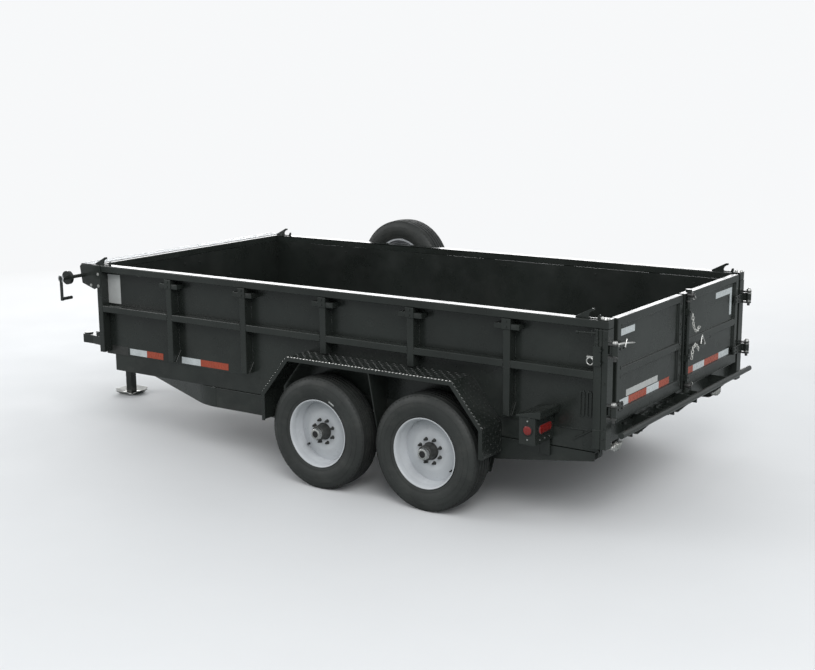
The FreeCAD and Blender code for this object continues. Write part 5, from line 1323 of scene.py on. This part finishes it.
class TRAILER_OT_running_gear(bpy.types.Operator):
    """Adds the springs' clamp bolts and eye bolts, and the rockers' pivots"""
    bl_idname = "trailer.running_gear"
    bl_label = "Running Gear"

    def execute(self, context):
        bright = bmesh.new()
        for side in SIDES:
            for axle in AXLES:
                self.clamps(bright, side, axle)
            for x in (0.837, 1.487, 1.709, 2.359):
                self.pivot(bright, side, x, 0.284, 0.011)
            self.pivot(bright, side, 1.598, 0.312, 0.015)
        piece("spring_bolts", bright, "chassis", "bolt")
        return {"FINISHED"}

    def clamps(self, bm, side, axle):
        """The inner clamp bolt bends over the axle, the outer one ends in the seat."""
        turns = [math.pi * (1.0 - i / 8) for i in range(9)]
        rear, front = axle - 0.049, axle + 0.049
        bend = [(axle + 0.05 * math.cos(turn), 0.2906 + 0.05 * math.sin(turn)) for turn in turns]
        bent_rod(bm, [at(x, side * 0.9915, z) for x, z in
                      ((rear, 0.182), *bend, (front, 0.182))], 0.0055)
        for x in (rear, front):
            bar(bm, (x, side * 1.0415, 0.182), (x, side * 1.0415, 0.262), 0.0055, 12)
            for y in (0.9915, 1.0415):
                bar(bm, (x, side * y, 0.1955), (x, side * y, 0.1865), 0.0105, 6)

    def pivot(self, bm, side, x, z, radius):
        """A bolt head outside and a nut inside a pair of hanger plates."""
        heads(bm, [(x, side * 1.0445, z)], (0.0, side, 0.0), radius, 0.0075, radius * 1.35)
        heads(bm, [(x, side * 0.9885, z)], (0.0, -side, 0.0), radius, 0.01, radius * 1.35)


class TRAILER_OT_hoist_fittings(bpy.types.Operator):
    """Adds the rams' ports, hoses, clamps and wiper rings, and the rings on their pins"""
    bl_idname = "trailer.hoist_fittings"
    bl_label = "Hoist Fittings"

    def execute(self, context):
        low, high = Vector((1.3, 0.0, 0.5)), Vector((3.0, 0.0, 0.6))
        along = (high - low).normalized()
        up = Vector((-along.z, 0.0, along.x))
        bright, hose, rings = shapes(3)

        def spot(side, distance, height, aside=0.0):
            """A point along a ram, above its middle line, and moved towards the other ram."""
            point = low + along * distance + up * height
            return at(point.x, side * (RAM - aside), point.z)

        for side in SIDES:
            for distance in (0.11, 1.56):
                rod(bright, spot(side, distance, 0.042), spot(side, distance, 0.066), 0.011,
                    sides=6, soft=0.001)
                rod(bright, spot(side, distance, 0.06), spot(side, distance, 0.078), 0.0075,
                    sides=16)
            bent_rod(hose, [spot(side, 1.56, 0.074), spot(side, 1.52, 0.076, 0.012),
                            spot(side, 1.44, 0.04, 0.034), spot(side, 0.34, 0.04, 0.034),
                            spot(side, 0.25, 0.064, 0.016), spot(side, 0.18, 0.072, 0.004),
                            spot(side, 0.11, 0.074)], 0.008, 12)
            for distance in (0.5, 0.9, 1.3):
                self.band(hose, spot(side, distance, 0.0), along, 0.045, 0.0475, 0.01)
            self.band(bright, spot(side, 1.6205, 0.0), along, 0.0245, 0.042, 0.003)
            self.band(bright, spot(side, 1.592, 0.0), along, 0.0498, 0.052, 0.004)
            for offset in (-1.0, 1.0):
                y = RAM + offset * 0.048
                rod(rings, at(1.3, side * (y - offset * 0.001), 0.5),
                    at(1.3, side * (y + offset * 0.004), 0.5), 0.0125, sides=24)
        piece("ram_ports_and_rings", bright, "ram_barrels", "zinc")
        piece("ram_hoses", hose, "ram_barrels", "gasket", 60.0)
        piece("ram_base_pins", rings, "chassis", "zinc")
        return {"FINISHED"}

    def band(self, bm, centre, axis, inner, outer, half):
        """A round band with a square section."""
        lathe(bm, centre, axis, [(inner, -half), (outer, -half), (outer, half), (inner, half),
                                 (inner, -half)], 40)


class TRAILER_OT_spare_mount(bpy.types.Operator):
    """Bolts the spare wheel to its bracket with a plate and nuts, and marks its lug holes"""
    bl_idname = "trailer.spare_mount"
    bl_label = "Spare Mount"

    def execute(self, context):
        middle, _ = middle_of("spare_rim")
        face = middle.y - DISC_FACE
        bright, dark = shapes(2)
        rod(dark, (middle.x, face + 0.002, middle.z), (middle.x, face - 0.006, middle.z), 0.066,
            sides=48, soft=0.0015)
        rod(bright, (middle.x, face - 0.006, middle.z), (middle.x, face - 0.04, middle.z), 0.01)
        rod(bright, (middle.x, face - 0.006, middle.z), (middle.x, face - 0.024, middle.z), 0.021,
            sides=6, soft=0.0015)
        for angle in LUGS:
            x = middle.x + LUG_CIRCLE * math.cos(angle)
            z = middle.z + LUG_CIRCLE * math.sin(angle)
            lathe(dark, (x, face, z), (0.0, -1.0, 0.0), [
                (0.0, -0.001), (0.0078, -0.001), (0.0105, 0.0005), (0.0, 0.0006)], 20)
        piece("spare_plate", dark, "bed", "hub")
        piece("spare_nut", bright, "bed", "zinc")
        return {"FINISHED"}


# Stage

# The plain colour behind the trailer, and the floor's colour as the paint mirrors it.
BACKDROP = (0.93, 0.94, 0.95, 1.0)
MIRRORED_FLOOR = (0.38, 0.4, 0.4, 1.0)
# The floor fades into the backdrop between these distances from the middle.
FADE = (4.6, 10.0)
# The photograph's camera: its place, its yaw, pitch and roll, and its focal length over its width.
CAMERA_PLACE = (-6.0922, 7.9732, 2.8057)
CAMERA_TURN = (-0.9705, -0.1997, -0.0071)
CAMERA_FOCUS = 1304.785 / 815.0


class TRAILER_OT_stage(bpy.types.Operator):
    """Lays the floor and sets the world, the lamps and the camera"""
    bl_idname = "trailer.stage"
    bl_label = "Stage"

    def execute(self, context):
        scene = context.scene
        scene.view_settings.view_transform = "Standard"
        self.world(scene)
        self.floor()
        self.lamp("Key lamp", (-7.5, 7.5, 8.0), (0.0, 0.0, 0.8), (6.0, 6.0), 600.0)
        self.lamp("Far lamp", (8.2, -10.2, 4.6), (0.6, 0.0, 1.2), (17.0, 5.6), 1050.0)
        self.lamp("Rear lamp", (-9.5, -4.0, 5.0), (-2.0, 0.0, 0.8), (5.0, 5.0), 110.0)
        self.lamp("Front lamp", (9.0, 6.5, 6.0), (1.0, 0.0, 0.8), (5.0, 5.0), 260.0)
        self.camera(scene)
        return {"FINISHED"}

    def world(self, scene):
        """A pale backdrop for the camera, and a softer sky for the surfaces."""
        world = bpy.data.worlds.new("Studio")
        scene.world = world
        world.use_nodes = True
        tree = world.node_tree
        tree.nodes.clear()
        seen = new_node(tree, "Background", {"Color": BACKDROP, "Strength": 1.0})
        lit = new_node(tree, "Background", {"Color": (0.95, 0.98, 1.0, 1.0), "Strength": 0.62})
        path = new_node(tree, "LightPath")
        mix = self.mix(tree, path.outputs["Is Camera Ray"], lit.outputs[0], seen.outputs[0])
        new_node(tree, "OutputWorld", {"Surface": mix})

    def mix(self, tree, amount, first, second):
        """Goes from the first shader to the second by an amount."""
        return new_node(tree, "MixShader", {"Fac": amount, 1: first, 2: second}).outputs["Shader"]

    def floor(self):
        """A pale floor that keeps the shadow and fades into the backdrop far from the trailer."""
        bm = bmesh.new()
        bmesh.ops.create_circle(bm, cap_ends=True, segments=96, radius=90.0)
        mesh = bpy.data.meshes.new("studio_floor")
        bm.to_mesh(mesh)
        bm.free()
        made = bpy.data.objects.new("studio_floor", mesh)
        bpy.context.collection.objects.link(made)
        material = finish("Studio floor", colours().floor, (0.7, 0.85), mottle=(0.6, 0.01),
                          grain=(60.0, 0.02, 0.001))
        tree, shader = shader_of(material)
        haze = new_node(tree, "Emission", {"Color": BACKDROP})
        place = new_node(tree, "TexCoord")
        far = new_node(tree, "VectorMath", {0: place.outputs["Object"]}, operation="LENGTH")
        fade = spread(tree, far.outputs["Value"], 0.0, 1.0, *FADE)
        camera_ray = new_node(tree, "LightPath").outputs["Is Camera Ray"]
        seen = new_node(tree, "Math", {0: fade, 1: camera_ray}, operation="MULTIPLY")
        # Only the camera sees the floor this pale; the paint mirrors a greyer one.
        grey = new_node(tree, "BsdfDiffuse", {"Color": MIRRORED_FLOOR})
        pale = self.mix(tree, camera_ray, grey.outputs["BSDF"], shader.outputs["BSDF"])
        shown = self.mix(tree, seen.outputs["Value"], pale, haze.outputs["Emission"])
        give(tree, tree.nodes["Material Output"].inputs["Surface"], shown)
        mesh.materials.append(material)

    def lamp(self, name, place, target, size, power):
        """An area lamp that faces its target and isn't seen itself."""
        data = bpy.data.lights.new(name, "AREA")
        data.shape = "RECTANGLE"
        data.size, data.size_y = size
        data.energy = power
        made = bpy.data.objects.new(name, data)
        made.location = place
        aim = Vector(target) - Vector(place)
        made.rotation_euler = aim.to_track_quat("-Z", "Y").to_euler()
        made.visible_camera = False
        bpy.context.collection.objects.link(made)

    def camera(self, scene):
        """The camera that took the photograph, as fitted to the trailer's straight edges."""
        yaw, pitch, roll = CAMERA_TURN
        ahead = Vector((math.cos(yaw) * math.cos(pitch), math.sin(yaw) * math.cos(pitch),
                        math.sin(pitch)))
        level = Vector((math.sin(yaw), -math.cos(yaw), 0.0))
        upright = level.cross(ahead)
        right = level * math.cos(roll) + upright * math.sin(roll)
        up = upright * math.cos(roll) - level * math.sin(roll)
        data = bpy.data.cameras.new("Photo camera")
        data.sensor_fit = "HORIZONTAL"
        data.sensor_width = 36.0
        data.lens = CAMERA_FOCUS * data.sensor_width
        data.clip_end = 400.0
        camera = bpy.data.objects.new("Photo camera", data)
        turn = Matrix((right, up, -ahead)).transposed().to_4x4()
        camera.matrix_world = Matrix.Translation(CAMERA_PLACE) @ turn
        bpy.context.collection.objects.link(camera)
        scene.camera = camera


STEPS = (
    TRAILER_OT_stage, TRAILER_OT_steelwork, TRAILER_OT_tyres, TRAILER_OT_rims,
    TRAILER_OT_hubs, TRAILER_OT_tread_plate, TRAILER_OT_lamps, TRAILER_OT_tapes,
    TRAILER_OT_door_fittings, TRAILER_OT_rear_corners, TRAILER_OT_body_details,
    TRAILER_OT_tarp_kit, TRAILER_OT_front_gear, TRAILER_OT_running_gear,
    TRAILER_OT_hoist_fittings, TRAILER_OT_spare_mount,
)


class TRAILER_PT_build(bpy.types.Panel):
    """Lists the steps that dress the trailer"""
    bl_label = "Dump Trailer"
    bl_idname = "TRAILER_PT_build"
    bl_space_type = "VIEW_3D"
    bl_region_type = "UI"
    bl_category = "Trailer"

    def draw(self, context):
        for step in STEPS:
            self.layout.operator(step.bl_idname)
        for group in (context.scene.trailer_sizes, context.scene.trailer_colours):
            box = self.layout.box()
            for name in group.__annotations__:
                box.prop(group, name)


CLASSES = (TrailerSizes, TrailerColours) + STEPS + (TRAILER_PT_build,)


def register():
    """Adds the classes and the scene's settings."""
    for made in CLASSES:
        bpy.utils.register_class(made)
    bpy.types.Scene.trailer_sizes = PointerProperty(type=TrailerSizes)
    bpy.types.Scene.trailer_colours = PointerProperty(type=TrailerColours)


def unregister():
    """Takes the classes and the scene's settings away."""
    del bpy.types.Scene.trailer_colours
    del bpy.types.Scene.trailer_sizes
    for made in reversed(CLASSES):
        bpy.utils.unregister_class(made)


def main():
    """Runs the steps in order."""
    register()
    for step in STEPS:
        group, name = step.bl_idname.split(".")
        getattr(getattr(bpy.ops, group), name)()


if __name__ == "__main__":
    main()
